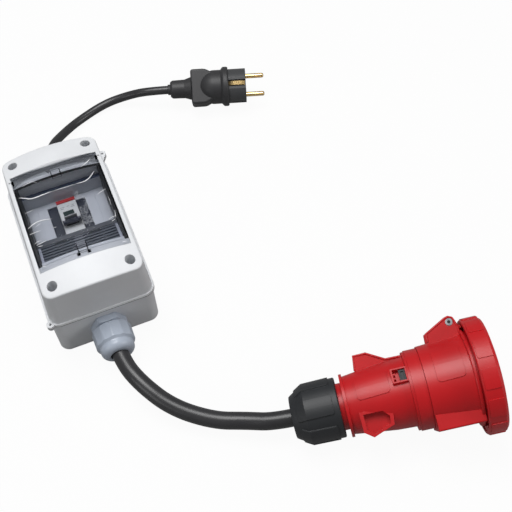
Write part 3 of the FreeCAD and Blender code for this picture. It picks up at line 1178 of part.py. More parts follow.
def locking_ring():
    """Bayonet ring round the lid with twelve grip pads, a front shoulder and three inner lugs."""
    outline = [(RING_START, RING_R - 0.6), (RING_START + 0.8, RING_R), (RING_END - 2.4, RING_R),
               (RING_END, RING_R - 2.0)]
    ring = turned(outline)
    skin = turned([(s, r + RING_PAD_H) for s, r in outline])
    pad = skin.common(rounded_bar(RING_START + 1.6, RING_END - 1.6, 8.2, 1.6, 30.0, BIG))
    for k in range(RING_PADS):
        ring = ring.fuse(around_x(pad, 360.0 / RING_PADS * k + 5.0))
    front = RING_END - RING_FRONT_T
    ring = ring.cut(turned([(RING_START - 1, RING_BORE_R), (front, RING_BORE_R), (front, RING_FRONT_BORE_R),
                            (RING_END + 1, RING_FRONT_BORE_R)]))
    lugs = tube(RING_BORE_R + 1, LUG_BORE_R, (RING_START + 0.6, 0, 0), (RAMP_S[0] - 0.5, 0, 0))
    for angle in RING_LUG_ANGLES:
        sector = wedge(angle - RING_LUG_HALF_DEG, angle + RING_LUG_HALF_DEG, RING_START, RING_END, BIG)
        ring = ring.fuse(lugs.common(sector))
    return ring


def hinge_pin():
    """Tubular steel pin through both ears and the arm of the lid."""
    half = ARM_HALF_W + LOOSE + EAR_T + 0.5
    return tube(PIN_OUT_R, PIN_IN_R, (HINGE_S, -half, HINGE_R), (HINGE_S, half, HINGE_R))


def lid_spring():
    """Coil of wire on the hinge pin, in the slot of the arm, with eight flats for the round of the wire."""
    pitch = 2 * (SPRING_WIRE_R + RUNNING)
    coil_r = PIN_OUT_R + LOOSE + SPRING_WIRE_R
    height = pitch * SPRING_TURNS
    helix = Part.makeHelix(pitch, height, coil_r)
    turns = [math.radians(360 * i / SPRING_FLATS) for i in range(SPRING_FLATS)]
    corners = [V(coil_r + SPRING_WIRE_R * math.cos(t), 0, SPRING_WIRE_R * math.sin(t)) for t in turns]
    section = Part.makePolygon(corners + corners[:1])
    coil = helix.makePipeShell([section], True, True)
    coil.rotate(V(0, 0, 0), X_AXIS, 90)
    coil.translate(V(HINGE_S, height / 2, HINGE_R))
    return coil


# Cables and leads

THICK_ROUTE = [
    (0.0, -93.0, 24.5), (0.0, -118.0, 24.5), (7.9, -143.7, 24.3), (26.0, -172.5, 18.0),
    (54.8, -195.9, 15.3), (79.7, -206.9, 16.9),
]
THIN_ROUTE = [
    (0.0, 92.0, 27.0), (0.0, 115.0, 27.0), (5.6, 137.4, 21.3), (22.4, 156.8, 11.7), (39.3, 171.4, 5.5),
    (72.9, 183.6, 6.1), (99.2, 179.3, 12.4),
]
LIVE_IN = [(0.0, 91.98, 29.1), (0.0, 66.0, 29.1), (0.0, 56.0, 36.8), (0.0, 40.0, 36.8)]
LIVE_OUT = [(0.0, -92.98, 28.1), (0.0, -66.0, 28.1), (0.0, -52.0, 36.8), (0.0, -28.0, 36.8)]
NEUTRAL_IN = [(1.8, 91.98, 25.9), (1.8, 64.0, 25.9), (-20.0, 48.0, 24.0), (-20.0, 37.0, 24.0)]
NEUTRAL_OUT = [(-20.0, 35.0, 24.0), (-20.0, -28.0, 24.0), (3.0, -56.0, 22.7), (3.0, -92.98, 22.7)]
EARTH_IN = [(-1.8, 91.98, 25.9), (-1.8, 68.5, 25.9), (-30.0, 50.0, 24.0), (-30.0, 37.0, 24.0)]
EARTH_OUT = [(-30.0, 35.0, 24.0), (-30.0, -30.0, 24.0), (-3.0, -62.0, 22.7), (-3.0, -92.98, 22.7)]
THICK_LAST_RUN = 24.0
THICK_HELD = 6.0
THIN_LAST_RUN = 24.0
THIN_HELD = 3.0
ROUTE_ARC_SHARE = 0.45


def route_wire(points, name):
    """Straight runs joined by tangent arcs, each arc as large as its two runs allow."""
    points = [V(*p) for p in points]
    edges, here, radii = [], points[0], []
    for before, corner, after in zip(points, points[1:], points[2:]):
        back, ahead = corner - before, after - corner
        turn = back.getAngle(ahead)
        reach = ROUTE_ARC_SHARE * min(back.Length, ahead.Length)
        radii.append(reach / math.tan(turn / 2))
        start = corner - back.normalize() * reach
        end = corner + ahead.normalize() * reach
        bisector = (end + start) * 0.5 - corner
        depth = reach * (1 / math.cos(turn / 2) - 1) / math.tan(turn / 2)
        middle = corner + bisector.normalize() * depth
        edges.append(Part.LineSegment(here, start).toShape())
        edges.append(Part.Arc(start, middle, end).toShape())
        here = end
    edges.append(Part.LineSegment(here, points[-1]).toShape())
    wire = Part.Wire(edges)
    print(name, "length %.1f mm, radii" % wire.Length, " ".join("%.0f" % r for r in radii))
    return wire


def cable(points, radius, name):
    """Round cable along a route."""
    wire = route_wire(points, name)
    first = wire.Edges[0]
    circle = Part.makeCircle(radius, first.valueAt(first.FirstParameter), first.tangentAt(first.FirstParameter))
    solid = wire.makePipeShell([Part.Wire([circle])], True, False)
    expected = math.pi * radius ** 2 * wire.Length
    print(name, "volume over section times length: %.4f" % (solid.Volume / expected))
    return solid


def thick_route():
    """Outlet cable's points, ending square in the clamping nut."""
    end = coupler_point(THICK_HELD, 0, 0)
    way = coupler_point(1.0, 0, 0) - coupler_point(0.0, 0, 0)
    corner = end - way * THICK_LAST_RUN
    return THICK_ROUTE + [tuple(corner), tuple(end)]


def thin_route():
    """Inlet cable's points, ending square in the plug's neck."""
    yaw = math.radians(PLUG_YAW)
    way = V(math.cos(yaw), math.sin(yaw), 0)
    end = PLUG_PLACE + way * THIN_HELD
    corner = end - way * THIN_LAST_RUN
    return THIN_ROUTE + [tuple(corner), tuple(end)]


def leads(inlet, outlet, name):
    """The lead from the inlet and the one to the outlet, on their own routes."""
    return Part.makeCompound([cable(inlet, IN_LEAD_R, name + " in"), cable(outlet, OUT_LEAD_R, name + " out")])


def build():
    """All pieces by name."""
    pieces = {
        "enclosure_base": enclosure_base(),
        "front_cover": front_cover(),
        "well_frame": well_frame(),
        "cover_gasket": cover_gasket(),
        "cover_screws": cover_screws(),
        "door": door(),
        "lower_shield": lower_shield(),
        "blank_covers": blank_cover(),
        "mounting_rail": mounting_rail(),
        "rail_screws": rail_screws(),
        "breaker_case": breaker_case(),
        "breaker_terminal_screws": breaker_terminal_screws(),
        "breaker_rail_clip": breaker_rail_clip(),
        "breaker_toggle": breaker_toggle(),
        "terminal_block": terminal_block(),
        "terminal_screws": terminal_screws(),
        "outlet_gland_body": at_outlet(gland_body(OUT_THREAD_R, OUT_HEX_AF, OUT_BORE_R)),
        "outlet_gland_locknut": at_outlet(gland_locknut(OUT_THREAD_R, OUT_HEX_AF)),
        "outlet_gland_nut": at_outlet(gland_nut(OUT_THREAD_R, OUT_NUT_R, THICK_R, OUT_NUT_L)),
        "outlet_gland_seal": at_outlet(gland_seal(OUT_BORE_R, THICK_R)),
        "inlet_gland_body": at_inlet(gland_body(IN_THREAD_R, IN_HEX_AF, IN_BORE_R)),
        "inlet_gland_locknut": at_inlet(gland_locknut(IN_THREAD_R, IN_HEX_AF)),
        "inlet_gland_nut": at_inlet(gland_nut(IN_THREAD_R, IN_NUT_R, THIN_R, IN_NUT_L)),
        "inlet_gland_seal": at_inlet(gland_seal(IN_BORE_R, THIN_R)),
        "live_leads": leads(LIVE_IN, LIVE_OUT, "live lead"),
        "neutral_leads": leads(NEUTRAL_IN, NEUTRAL_OUT, "neutral lead"),
        "earth_leads": leads(EARTH_IN, EARTH_OUT, "earth lead"),
        "outlet_cable": cable(thick_route(), THICK_R, "outlet cable"),
        "inlet_cable": cable(thin_route(), THIN_R, "inlet cable"),
        "plug_housing": at_plug(plug_housing()),
        "plug_neck": at_plug(plug_neck()),
        "plug_insert": at_plug(plug_insert()),
        "plug_pins": at_plug(plug_pins()),
        "plug_earth_clips": at_plug(plug_earth_clips()),
        "clamping_nut": at_coupler(clamping_nut()),
        "coupler_cable_seal": at_coupler(coupler_cable_seal()),
        "coupler_rear_housing": at_coupler(rear_housing()),
        "coupler_latch": at_coupler(coupler_latch()),
        "coupler_front_housing": at_coupler(front_housing()),
        "contact_insert": at_coupler(contact_insert()),
        "contact_sleeves": at_coupler(contact_sleeves()),
        "mouth_gasket": at_coupler(mouth_gasket()),
        "coupler_lid": at_coupler(lid()),
        "lid_gasket": at_coupler(lid_gasket()),
        "locking_ring": at_coupler(locking_ring()),
        "lid_hinge_pin": at_coupler(hinge_pin()),
        "lid_spring": at_coupler(lid_spring()),
    }
    return pieces


if __name__ == "__main__":
    os.makedirs("parts", exist_ok=True)
    for name, shape in build().items():
        shape.exportStep("parts/%s.step" % name)
        print(name, len(shape.Solids), "solids, valid", shape.isValid(), "z from %.2f" % shape.BoundBox.ZMin)
    for label, place in (("coupler origin", coupler_point(0, 0, 0)), ("hinge", coupler_point(HINGE_S, 0, HINGE_R))):
        print(label, [round(c, 3) for c in place])
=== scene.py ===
import bpy
import json
import math
from mathutils import Matrix, Vector

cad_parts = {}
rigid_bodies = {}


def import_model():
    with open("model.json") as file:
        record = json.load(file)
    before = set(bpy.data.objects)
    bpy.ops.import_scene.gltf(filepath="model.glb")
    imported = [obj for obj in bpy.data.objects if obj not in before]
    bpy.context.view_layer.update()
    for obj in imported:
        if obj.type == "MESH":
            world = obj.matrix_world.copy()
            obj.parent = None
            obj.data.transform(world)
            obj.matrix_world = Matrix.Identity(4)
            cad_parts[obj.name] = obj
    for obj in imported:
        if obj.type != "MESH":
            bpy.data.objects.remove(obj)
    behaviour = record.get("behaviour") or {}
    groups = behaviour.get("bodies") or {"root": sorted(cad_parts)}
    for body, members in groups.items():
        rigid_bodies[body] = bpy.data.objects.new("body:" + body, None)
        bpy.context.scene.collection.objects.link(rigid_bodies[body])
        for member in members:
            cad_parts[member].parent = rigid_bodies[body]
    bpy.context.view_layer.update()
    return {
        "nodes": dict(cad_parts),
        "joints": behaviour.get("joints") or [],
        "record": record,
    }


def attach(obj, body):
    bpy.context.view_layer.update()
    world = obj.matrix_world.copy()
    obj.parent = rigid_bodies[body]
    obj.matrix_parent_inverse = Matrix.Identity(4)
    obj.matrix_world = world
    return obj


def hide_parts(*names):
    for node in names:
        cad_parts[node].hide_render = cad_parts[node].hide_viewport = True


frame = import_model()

bl_info = {
    "name": "Protected adapter lead",
    "version": (1, 0, 0),
    "blender": (4, 5, 0),
    "location": "3D Viewport > Sidebar > Adapter lead",
    "description": "Dresses an adapter lead with a breaker box, an earthed plug and a coupler",
    "category": "Object",
}

MM = 0.001
JOINTS = {joint["name"]: joint for joint in frame["joints"]}
MOUNTS = {mount["name"]: mount for mount in frame["record"]["mounts"]}

# The camera of the photograph, in metres and degrees
CAMERA_PLACE = (-0.00599, -0.47903, 0.73967)
CAMERA_AZIMUTH = -20.15
CAMERA_ELEVATION = 58.29
CAMERA_ROLL = -2.17
CAMERA_LENS = 64.22
CAMERA_SENSOR = 36.0

# Lamps: name, place and target in metres, width, the setting that holds its power, share of it
LAMPS = (
    ("key", (-0.02, 0.25, 1.55), (0.06, -0.03, 0.03), 1.0, "key_power", 1.0),
    ("fill", (1.5, -0.9, 1.0), (0.1, -0.05, 0.05), 0.8, "fill_power", 1.0),
    ("strip", (-1.1, -0.5, 0.7), (0.0, -0.05, 0.05), 0.6, "fill_power", 0.3),
)
# Light from all round, how much of the white background mirrored rays see, and the floor's glow
AMBIENT = 0.16
MIRRORED_SHARE = 0.15
FLOOR_WIDTH = 8
FLOOR_GLOW = 1.13
FLOOR_GLOW_SHARE = 0.84

# Distances along the coupler and the plug, in millimetres, of what their mounts and joints name
RING_JOINT_S = 157.0
PLUG_FACE_S = 81.5
PLUG_PIN_MIDDLE_S = PLUG_FACE_S + 8.66

# Routes of the two cables, in millimetres, and the straight ends that they finish with
OUTLET_ROUTE = [
    (0.0, -93.0, 24.5), (0.0, -118.0, 24.5), (7.9, -143.7, 24.3), (26.0, -172.5, 18.0),
    (54.8, -195.9, 15.3), (79.7, -206.9, 16.9),
]
OUTLET_HELD, OUTLET_LAST_RUN, OUTLET_DIAMETER = 6.0, 24.0, 15.0
OUTLET_LENGTH = 0.198
INLET_ROUTE = [
    (0.0, 92.0, 27.0), (0.0, 115.0, 27.0), (5.6, 137.4, 21.3), (22.4, 156.8, 11.7),
    (39.3, 171.4, 5.5), (72.9, 183.6, 6.1), (99.2, 179.3, 12.4),
]
INLET_HELD, INLET_LAST_RUN, INLET_DIAMETER = 3.0, 24.0, 8.6
INLET_LENGTH = 0.206

# The front of the box, in millimetres: its double curve and the seam below it
CROWN_TOP = 103.0
CROWN_RX = 200.0
CROWN_RY = 333.0
# bands of painted highlight on the seam's rim and painted shadow in the seam's gap: middle height
# and half width
SEAM_RIM_Z, SEAM_RIM_HALF = 49.3, 0.9
SEAM_GAP_Z, SEAM_GAP_HALF = 47.9, 0.4

# The well behind the door, in millimetres
WELL_HALF_W = 35.8
# heights and places of the well's painted shade and painted light: the step, the ledge, the far
# wall and its top edge
WELL_STEP_Z = 82.0
LEDGE_Z = 84.0
FACE_HALF = 0.3
FAR_WALL_Y, FAR_WALL_HALF = 39.0, 0.05
FAR_WALL_TOP_Y = 39.15
FAR_WALL_RIM_Y = 38.9
FAR_WALL_RIM_Z = 96.1
# where the guard's painted shade gives way to paler strips at its sides and in its middle
SHIELD_SIDE_X = 33.2
SHIELD_MIDDLE_X = 4.05
# the black cord of painted shadow along the far wall's top edge: radius, setback, drop below the
# crown and steps
WELL_CORD_RADIUS = 0.55
WELL_CORD_BACK = 0.4
WELL_CORD_DROP = 3.3
WELL_CORD_STEPS = 24

# The door and the film on it, in millimetres
DOOR_DROP = 0.3
STUD_X = 37.2
STUD_Y, STUD_HALF_Y = 46.2, 1.9
TAB_HALF = 4.0
TAB_MIDDLES = (39.2, -43.05)
TAB_FLANK_HALF, TAB_END_HALF = 0.35, 0.3
FILM_SIZE = (74.0, 94.0)
FILM_START = (0.0, -3.0, 115.0)
FILM_GAP = 0.06
FILM_LOOSE_X, FILM_LOOSE_HALF_X = 12.7, 4.2
FILM_LOOSE_Y, FILM_LOOSE_HALF_Y = -6.5, 18.0
FOLD_LIFT = 0.1

# The breaker's nose and what is printed on it, in millimetres: x from and to, y from and to
PRINT_Z = 69.28
LABEL_SPAN = (-8.6, 8.6, 28.9, 32.1)
INDICATOR_SPAN = (-5.4, 4.2, 13.9, 18.6)
MARK_SPANS = (
    (-6.4, -2.6, 23.6, 24.1), (-6.4, -3.8, 21.9, 22.4), (-0.6, 1.6, 23.6, 24.1),
    (2.9, 6.3, 21.9, 22.4), (3.9, 6.3, 23.6, 24.1),
)
# dark strips of painted shadow in the gaps beside the breaker's nose: x from and to; y from and to,
# z from and to
STRIP_X = (8.95, 17.5)
STRIP_BOX = (-15.2, 29.4, 64.6, 65.1)


# Places

def frame_matrix(along, across, origin):
    """Matrix of a frame with X along and Y across."""
    matrix = Matrix((along, across, along.cross(across))).transposed().to_4x4()
    matrix.translation = origin
    return matrix


def coupler_matrix():
    """Frame of the coupler: X along it towards the lid, Z towards the lid's hinge, in metres."""
    ring, lid = JOINTS["ring_turn"], JOINTS["lid_hinge"]
    along = Vector(ring["axis"]).normalized()
    across = -Vector(lid["axis"]).normalized()
    return frame_matrix(along, across, Vector(ring["pos_m"]) - along * RING_JOINT_S * MM)


def plug_matrix():
    """Frame of the plug: X along it towards the pin tips, Y from pin to pin, in metres."""
    a, b = MOUNTS["plug_pin_a"], MOUNTS["plug_pin_b"]
    along = Vector(a["axis"]).normalized()
    across = (Vector(b["pos_m"]) - Vector(a["pos_m"])).normalized()
    middle = (Vector(a["pos_m"]) + Vector(b["pos_m"])) / 2
    return frame_matrix(along, across, middle - along * PLUG_PIN_MIDDLE_S * MM)


COUPLER = coupler_matrix()
PLUG = plug_matrix()


def crown_height(x, y):
    """Height of the box's curved front over a point of its plan, in millimetres."""
    across = CROWN_RX - math.sqrt(CROWN_RX ** 2 - x ** 2)
    return CROWN_TOP - CROWN_RY + math.sqrt((CROWN_RY - across) ** 2 - y ** 2)


def route_points(route, holder, held, last_run):
    """Route in metres, with its last straight run on the axis of the piece that holds it."""
    end = holder @ Vector((held * MM, 0, 0))
    corner = holder @ Vector(((held - last_run) * MM, 0, 0))
    return [Vector(p) * MM for p in route] + [corner, end]


# Small tools

def linear(code):
    """Linear RGBA of an sRGB hex colour."""
    channels = [int(code[i:i + 2], 16) / 255 for i in (1, 3, 5)]
    return [c / 12.92 if c <= 0.04045 else ((c + 0.055) / 1.055) ** 2.4
            for c in channels] + [1.0]


def red_shade(colour, factor):
    """Hex code of a linear colour property, dimmed by a factor."""
    def channel(c):
        c = c * factor
        s = 12.92 * c if c <= 0.0031308 else 1.055 * c ** (1 / 2.4) - 0.055
        return "%02x" % max(0, min(255, round(255 * s)))
    return "#" + "".join(channel(c) for c in colour[:3])


def settings():
    """The sizes and colours that the panel shows."""
    return bpy.context.scene.adapter_lead


def select_only(*objects):
    """Makes these the only selected objects, the first one active."""
    for other in bpy.context.view_layer.objects:
        other.select_set(False)
    for chosen in objects:
        chosen.select_set(True)
    bpy.context.view_layer.objects.active = objects[0] if objects else None


def finish_piece(piece, name, slot, body, matrix=None):
    """Names a piece, puts its place in its mesh, gives its finish and lets it ride on a body."""
    piece.name = name
    piece.data.name = name
    piece.data.transform(piece.matrix_world)
    piece.matrix_world = Matrix.Identity(4)
    if matrix is not None:
        piece.data.transform(matrix)
    piece.data.materials.clear()
    piece.data.materials.append(MATERIALS[slot])
    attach(piece, body)
    return piece


def apply_modifiers(piece):
    """Applies every modifier of a piece in order."""
    select_only(piece)
    for modifier in list(piece.modifiers):
        bpy.ops.object.modifier_apply(modifier=modifier.name)


def slab(x0, x1, y0, y1, z0, z1, round_mm):
    """Small plate between two corners in millimetres, with softened edges."""
    select_only()
    middle = ((x0 + x1) / 2 * MM, (y0 + y1) / 2 * MM, (z0 + z1) / 2 * MM)
    bpy.ops.mesh.primitive_cube_add(size=1, location=middle)
    piece = bpy.context.object
    piece.scale = ((x1 - x0) * MM, (y1 - y0) * MM, (z1 - z0) * MM)
    bpy.ops.object.transform_apply(location=True, rotation=False, scale=True)
    bevel = piece.modifiers.new("softened edges", "BEVEL")
    bevel.width = round_mm * MM
    bevel.segments = 2
    apply_modifiers(piece)
    return piece


def join(pieces):
    """Makes one piece of several."""
    select_only(*pieces)
    bpy.ops.object.join()
    return bpy.context.object


def round_line(name, kind, places, radius, resolution):
    """Curve object with a round section through places in metres."""
    data = bpy.data.curves.new(name, "CURVE")
    data.dimensions = "3D"
    data.bevel_depth = radius
    data.bevel_resolution = resolution
    line = data.splines.new(kind)
    line.points.add(len(places) - 1)
    for point, place in zip(line.points, places):
        point.co = (*place, 1.0)
    if kind == "NURBS":
        line.order_u = 3
        line.use_endpoint_u = True
    curve = bpy.data.objects.new(name, data)
    bpy.context.scene.collection.objects.link(curve)
    return curve


def made_mesh(curve):
    """Turns a curve object into a mesh."""
    select_only(curve)
    bpy.ops.object.convert(target="MESH")
    return bpy.context.object


# Shader tools

def add_node(tree, kind, properties=None, sockets=None):
    """Adds a shader node, sets its properties, and fills sockets with values or outputs."""
    made = tree.nodes.new(kind)
    for key, value in (properties or {}).items():
        setattr(made, key, value)
    for key, value in (sockets or {}).items():
        if isinstance(value, bpy.types.NodeSocket):
            tree.links.new(value, made.inputs[key])
        else:
            made.inputs[key].default_value = value
    return made


def new_material(name):
    """Empty material with a Principled shader on its output."""
    material = bpy.data.materials.new(name)
    material.use_nodes = True
    tree = material.node_tree
    tree.nodes.clear()
    shader = add_node(tree, "ShaderNodeBsdfPrincipled")
    output = add_node(tree, "ShaderNodeOutputMaterial")
    tree.links.new(shader.outputs["BSDF"], output.inputs["Surface"])
    return material, tree, shader


def found_node(tree, kind):
    """The first node of a kind."""
    return next(node for node in tree.nodes if node.bl_idname == kind)


def show_mix(tree, share, first, second):
    """Puts a mix of two shaders on the material's output."""
    mix = add_node(tree, "ShaderNodeMixShader", None, {0: share, 1: first, 2: second})
    output = found_node(tree, "ShaderNodeOutputMaterial")
    tree.links.new(mix.outputs["Shader"], output.inputs["Surface"])


def object_place(tree):
    """Object coordinates, in metres."""
    return add_node(tree, "ShaderNodeTexCoord").outputs["Object"]


def axes_of(tree, place):
    """The three coordinates of a place."""
    return add_node(tree, "ShaderNodeSeparateXYZ", None, {"Vector": place}).outputs


def noise(tree, place, size_mm, detail):
    """Noise with patches of about that size."""
    return add_node(tree, "ShaderNodeTexNoise", None,
                    {"Vector": place, "Scale": 1000 / size_mm, "Detail": detail})


def fitted(tree, value, **limits):
    """A value moved from one range to another."""
    sockets = {"Value": value}
    sockets.update({key.replace("_", " ").title(): limit for key, limit in limits.items()})
    return add_node(tree, "ShaderNodeMapRange", None, sockets).outputs["Result"]


def maths(tree, operation, *values):
    """Result of one sum on numbers or outputs."""
    return add_node(tree, "ShaderNodeMath", {"operation": operation},
                    dict(enumerate(values))).outputs[0]


def near(tree, value, middle_mm, half_mm):
    """1 where a coordinate lies within half_mm of a middle."""
    return maths(tree, "COMPARE", value, middle_mm * MM, half_mm * MM)


def above(tree, value, limit_mm):
    """1 where a coordinate is more than a limit."""
    return maths(tree, "GREATER_THAN", value, limit_mm * MM)


def magnitude(tree, value):
    """A value without its sign."""
    return maths(tree, "ABSOLUTE", value)


def both(tree, first, second):
    """Product of two values: 1 where both are."""
    return maths(tree, "MULTIPLY", first, second)


def either(tree, first, second):
    """The larger of two values: 1 where one of them is."""
    return maths(tree, "MAXIMUM", first, second)


def tinted(tree, place, dark, light, patch_mm):
    """Colour that drifts between two close shades over patches of that size, and the drift."""
    drift = noise(tree, place, patch_mm, 3.0)
    drift.inputs["Roughness"].default_value = 0.55
    ramp = add_node(tree, "ShaderNodeValToRGB", None, {"Fac": drift.outputs["Fac"]})
    for element, position, shade in zip(ramp.color_ramp.elements, (0.35, 0.65), (dark, light)):
        element.position = position
        element.color = linear(shade)
    return ramp.outputs["Color"], drift.outputs["Fac"]


def mixed(tree, share, first, second):
    """Colour between two, by a share that another node gives."""
    mix = add_node(tree, "ShaderNodeMix", {"data_type": "RGBA"})
    tree.links.new(share, mix.inputs[0])
    for socket, value in ((mix.inputs[6], first), (mix.inputs[7], second)):
        if isinstance(value, bpy.types.NodeSocket):
            tree.links.new(value, socket)
        else:
            socket.default_value = linear(value)
    return mix.outputs[2]


def shaded(name, dark, light, patch_mm, roughness, spread):
    """Material in two close shades, with a polish that drifts with them."""
    material, tree, shader = new_material(name)
    place = object_place(tree)
    colour, drift = tinted(tree, place, dark, light, patch_mm)
    tree.links.new(colour, shader.inputs["Base Color"])
    rough = fitted(tree, drift, to_min=roughness * (1 - spread), to_max=roughness * (1 + spread))
    tree.links.new(rough, shader.inputs["Roughness"])
    return material, tree, shader, place


# Finishes

def moulded(name, dark, light, roughness, grain_mm, grain_height, ior=1.49, edge_mm=0.4):
    """Moulded plastic or rubber: close shades, a fine grain from the mould, softened edges."""
    material, tree, shader, place = shaded(name, dark, light, 34.0, roughness, 0.12)
    grain = noise(tree, place, grain_mm, 2.0)
    rounded = add_node(tree, "ShaderNodeBevel", {"samples": 4}, {"Radius": edge_mm * MM})
    bump = add_node(tree, "ShaderNodeBump", None,
                    {"Height": grain.outputs["Fac"], "Strength": 0.5,
                     "Distance": grain_height * MM, "Normal": rounded.outputs["Normal"]})
    tree.links.new(bump.outputs["Normal"], shader.inputs["Normal"])
    shader.inputs["IOR"].default_value = ior
    return material


def metal(name, dark, light, roughness, patch_mm):
    """Plated or turned metal with slight unevenness in tone and polish."""
    material, _, shader, _ = shaded(name, dark, light, patch_mm, roughness, 0.3)
    shader.inputs["Metallic"].default_value = 1.0
    return material


def repainted(material, zones):
    """Gives a moulded finish zones of other colours: zones(tree, axes) lists share and colour."""
    tree = material.node_tree
    socket = found_node(tree, "ShaderNodeBsdfPrincipled").inputs["Base Color"]
    colour = socket.links[0].from_socket
    for share, paint in zones(tree, axes_of(tree, object_place(tree))):
        colour = mixed(tree, share, colour, paint)
    tree.links.new(colour, socket)
    return material


def housing_zones(tree, axes):
    """Painted highlight on the rim along the seam, above a painted shadow in the gap below it."""
    return ((near(tree, axes["Z"], SEAM_RIM_Z, SEAM_RIM_HALF), "#fafbfc"),
            (near(tree, axes["Z"], SEAM_GAP_Z, SEAM_GAP_HALF), "#77797c"))


def well_zones(tree, axes):
    """Painted shade on the step and the ledge, painted light on the far wall, black painted shadow
    on the side walls and top edges.
    """
    # the far wall's top follows the crown, which falls by the square of the distance from x 0
    fall = both(tree, both(tree, axes["X"], axes["X"]), 1000 / (2 * CROWN_RX))
    high = above(tree, maths(tree, "ADD", axes["Z"], fall), FAR_WALL_RIM_Z)
    rim = both(tree, high, above(tree, axes["Y"], FAR_WALL_RIM_Y))
    side = above(tree, magnitude(tree, axes["X"]), WELL_HALF_W - 0.05)
    edge = above(tree, axes["Y"], FAR_WALL_TOP_Y)
    return ((near(tree, axes["Z"], WELL_STEP_Z, FACE_HALF), "#434c62"),
            (near(tree, axes["Z"], LEDGE_Z, FACE_HALF), "#55585e"),
            (near(tree, axes["Y"], FAR_WALL_Y, FAR_WALL_HALF), "#f6f7f8"),
            (either(tree, either(tree, side, edge), rim), "#131417"))


def shield_zones(tree, axes):
    """The guard's painted shade gives way to pale strips at both sides and a lighter middle."""
    x = magnitude(tree, axes["X"])
    return ((above(tree, x, SHIELD_SIDE_X), "#c9ccd8"),
            (maths(tree, "LESS_THAN", x, SHIELD_MIDDLE_X * MM), "#8e9198"))


def smoked_sheet(name, tint, roughness):
    """Smoked clear sheet: it dims what lies behind it, mirrors the lamps, has black hinge studs."""
    material, tree, shader = new_material(name)
    place = object_place(tree)
    axes = axes_of(tree, place)
    x = magnitude(tree, axes["X"])
    colour, _ = tinted(tree, place, tint, tint, 40.0)
    stud = both(tree, above(tree, x, STUD_X), near(tree, axes["Y"], STUD_Y, STUD_HALF_Y))
    colour = mixed(tree, stud, colour, "#0a0a0b")
    # a tab's edges turn the light aside, so its outline shows dark
    flank = near(tree, x, TAB_HALF, TAB_FLANK_HALF)
    beside = maths(tree, "ADD", *[near(tree, axes["Y"], y, TAB_HALF) for y in TAB_MIDDLES])
    ends = maths(tree, "ADD", *[
        near(tree, magnitude(tree, maths(tree, "SUBTRACT", axes["Y"], y * MM)), TAB_HALF,
             TAB_END_HALF) for y in TAB_MIDDLES])
    within = maths(tree, "LESS_THAN", x, TAB_HALF * MM)
    outline = either(tree, both(tree, flank, beside), both(tree, both(tree, ends, within), 0.5))
    colour = mixed(tree, outline, colour, "#4a4b50")
    waves = noise(tree, place, 60.0, 0.0)
    bump = add_node(tree, "ShaderNodeBump", None,
                    {"Height": waves.outputs["Fac"], "Strength": 0.12, "Distance": 0.4 * MM})
    clear = add_node(tree, "ShaderNodeBsdfTransparent", None, {"Color": colour})
    shader.inputs["Base Color"].default_value = linear("#1c1d21")
    shader.inputs["Roughness"].default_value = roughness
    shader.inputs["IOR"].default_value = 1.58
    tree.links.new(bump.outputs["Normal"], shader.inputs["Normal"])
    mirror = add_node(tree, "ShaderNodeFresnel", None,
                      {"IOR": 1.35, "Normal": bump.outputs["Normal"]})
    show_mix(tree, both(tree, mirror.outputs["Fac"], 0.65), clear.outputs["BSDF"],
             shader.outputs["BSDF"])
    return material


def film_finish():
    """Clinging film: invisible where it lies flat, pale veins where air is caught under it."""
    material, tree, shader = new_material("clear polyethylene film")
    place = object_place(tree)
    axes = axes_of(tree, place)
    bend = noise(tree, place, 4.0, 2.0)
    bent = add_node(tree, "ShaderNodeVectorMath", {"operation": "MULTIPLY_ADD"},
                    {0: bend.outputs["Color"], 1: (0.0026, 0.0026, 0.0), 2: place})
    # veins about two millimetres apart, as wide as they need to be to show
    cells = add_node(tree, "ShaderNodeTexVoronoi", {"feature": "DISTANCE_TO_EDGE"},
                     {"Vector": bent.outputs["Vector"], "Scale": 1000 / 2.2})
    veins = fitted(tree, cells.outputs["Distance"], from_min=0.03, from_max=0.14,
                   to_min=1.0, to_max=0.0)
    patchy = fitted(tree, noise(tree, place, 9.0, 2.0).outputs["Fac"],
                    from_min=0.48, from_max=0.58, to_min=0.0, to_max=1.0)
    # the film lies loose over the dark strip right of the breaker
    loose = both(tree, near(tree, axes["X"], FILM_LOOSE_X, FILM_LOOSE_HALF_X),
                 near(tree, axes["Y"], FILM_LOOSE_Y, FILM_LOOSE_HALF_Y))
    amount = maths(tree, "MULTIPLY_ADD", loose, 0.24, 0.012)
    share = both(tree, both(tree, veins, patchy), amount)
    shader.inputs["Base Color"].default_value = linear("#e9edf4")
    shader.inputs["Roughness"].default_value = 0.35
    clear = add_node(tree, "ShaderNodeBsdfTransparent", None, {"Color": linear("#fdfdfe")})
    show_mix(tree, share, clear.outputs["BSDF"], shader.outputs["BSDF"])
    return material


def two_colour_sheath(name, first, second, stripe_mm):
    """Lead sheath in two colours that wind along it."""
    material, tree, shader = new_material(name)
    wave = add_node(tree, "ShaderNodeTexWave", {"bands_direction": "DIAGONAL"},
                    {"Vector": object_place(tree), "Scale": 1000 / stripe_mm / 6.28,
                     "Distortion": 0.0})
    share = maths(tree, "GREATER_THAN", wave.outputs["Fac"], 0.5)
    tree.links.new(mixed(tree, share, first, second), shader.inputs["Base Color"])
    shader.inputs["Roughness"].default_value = 0.4
    return material


MATERIALS = {}

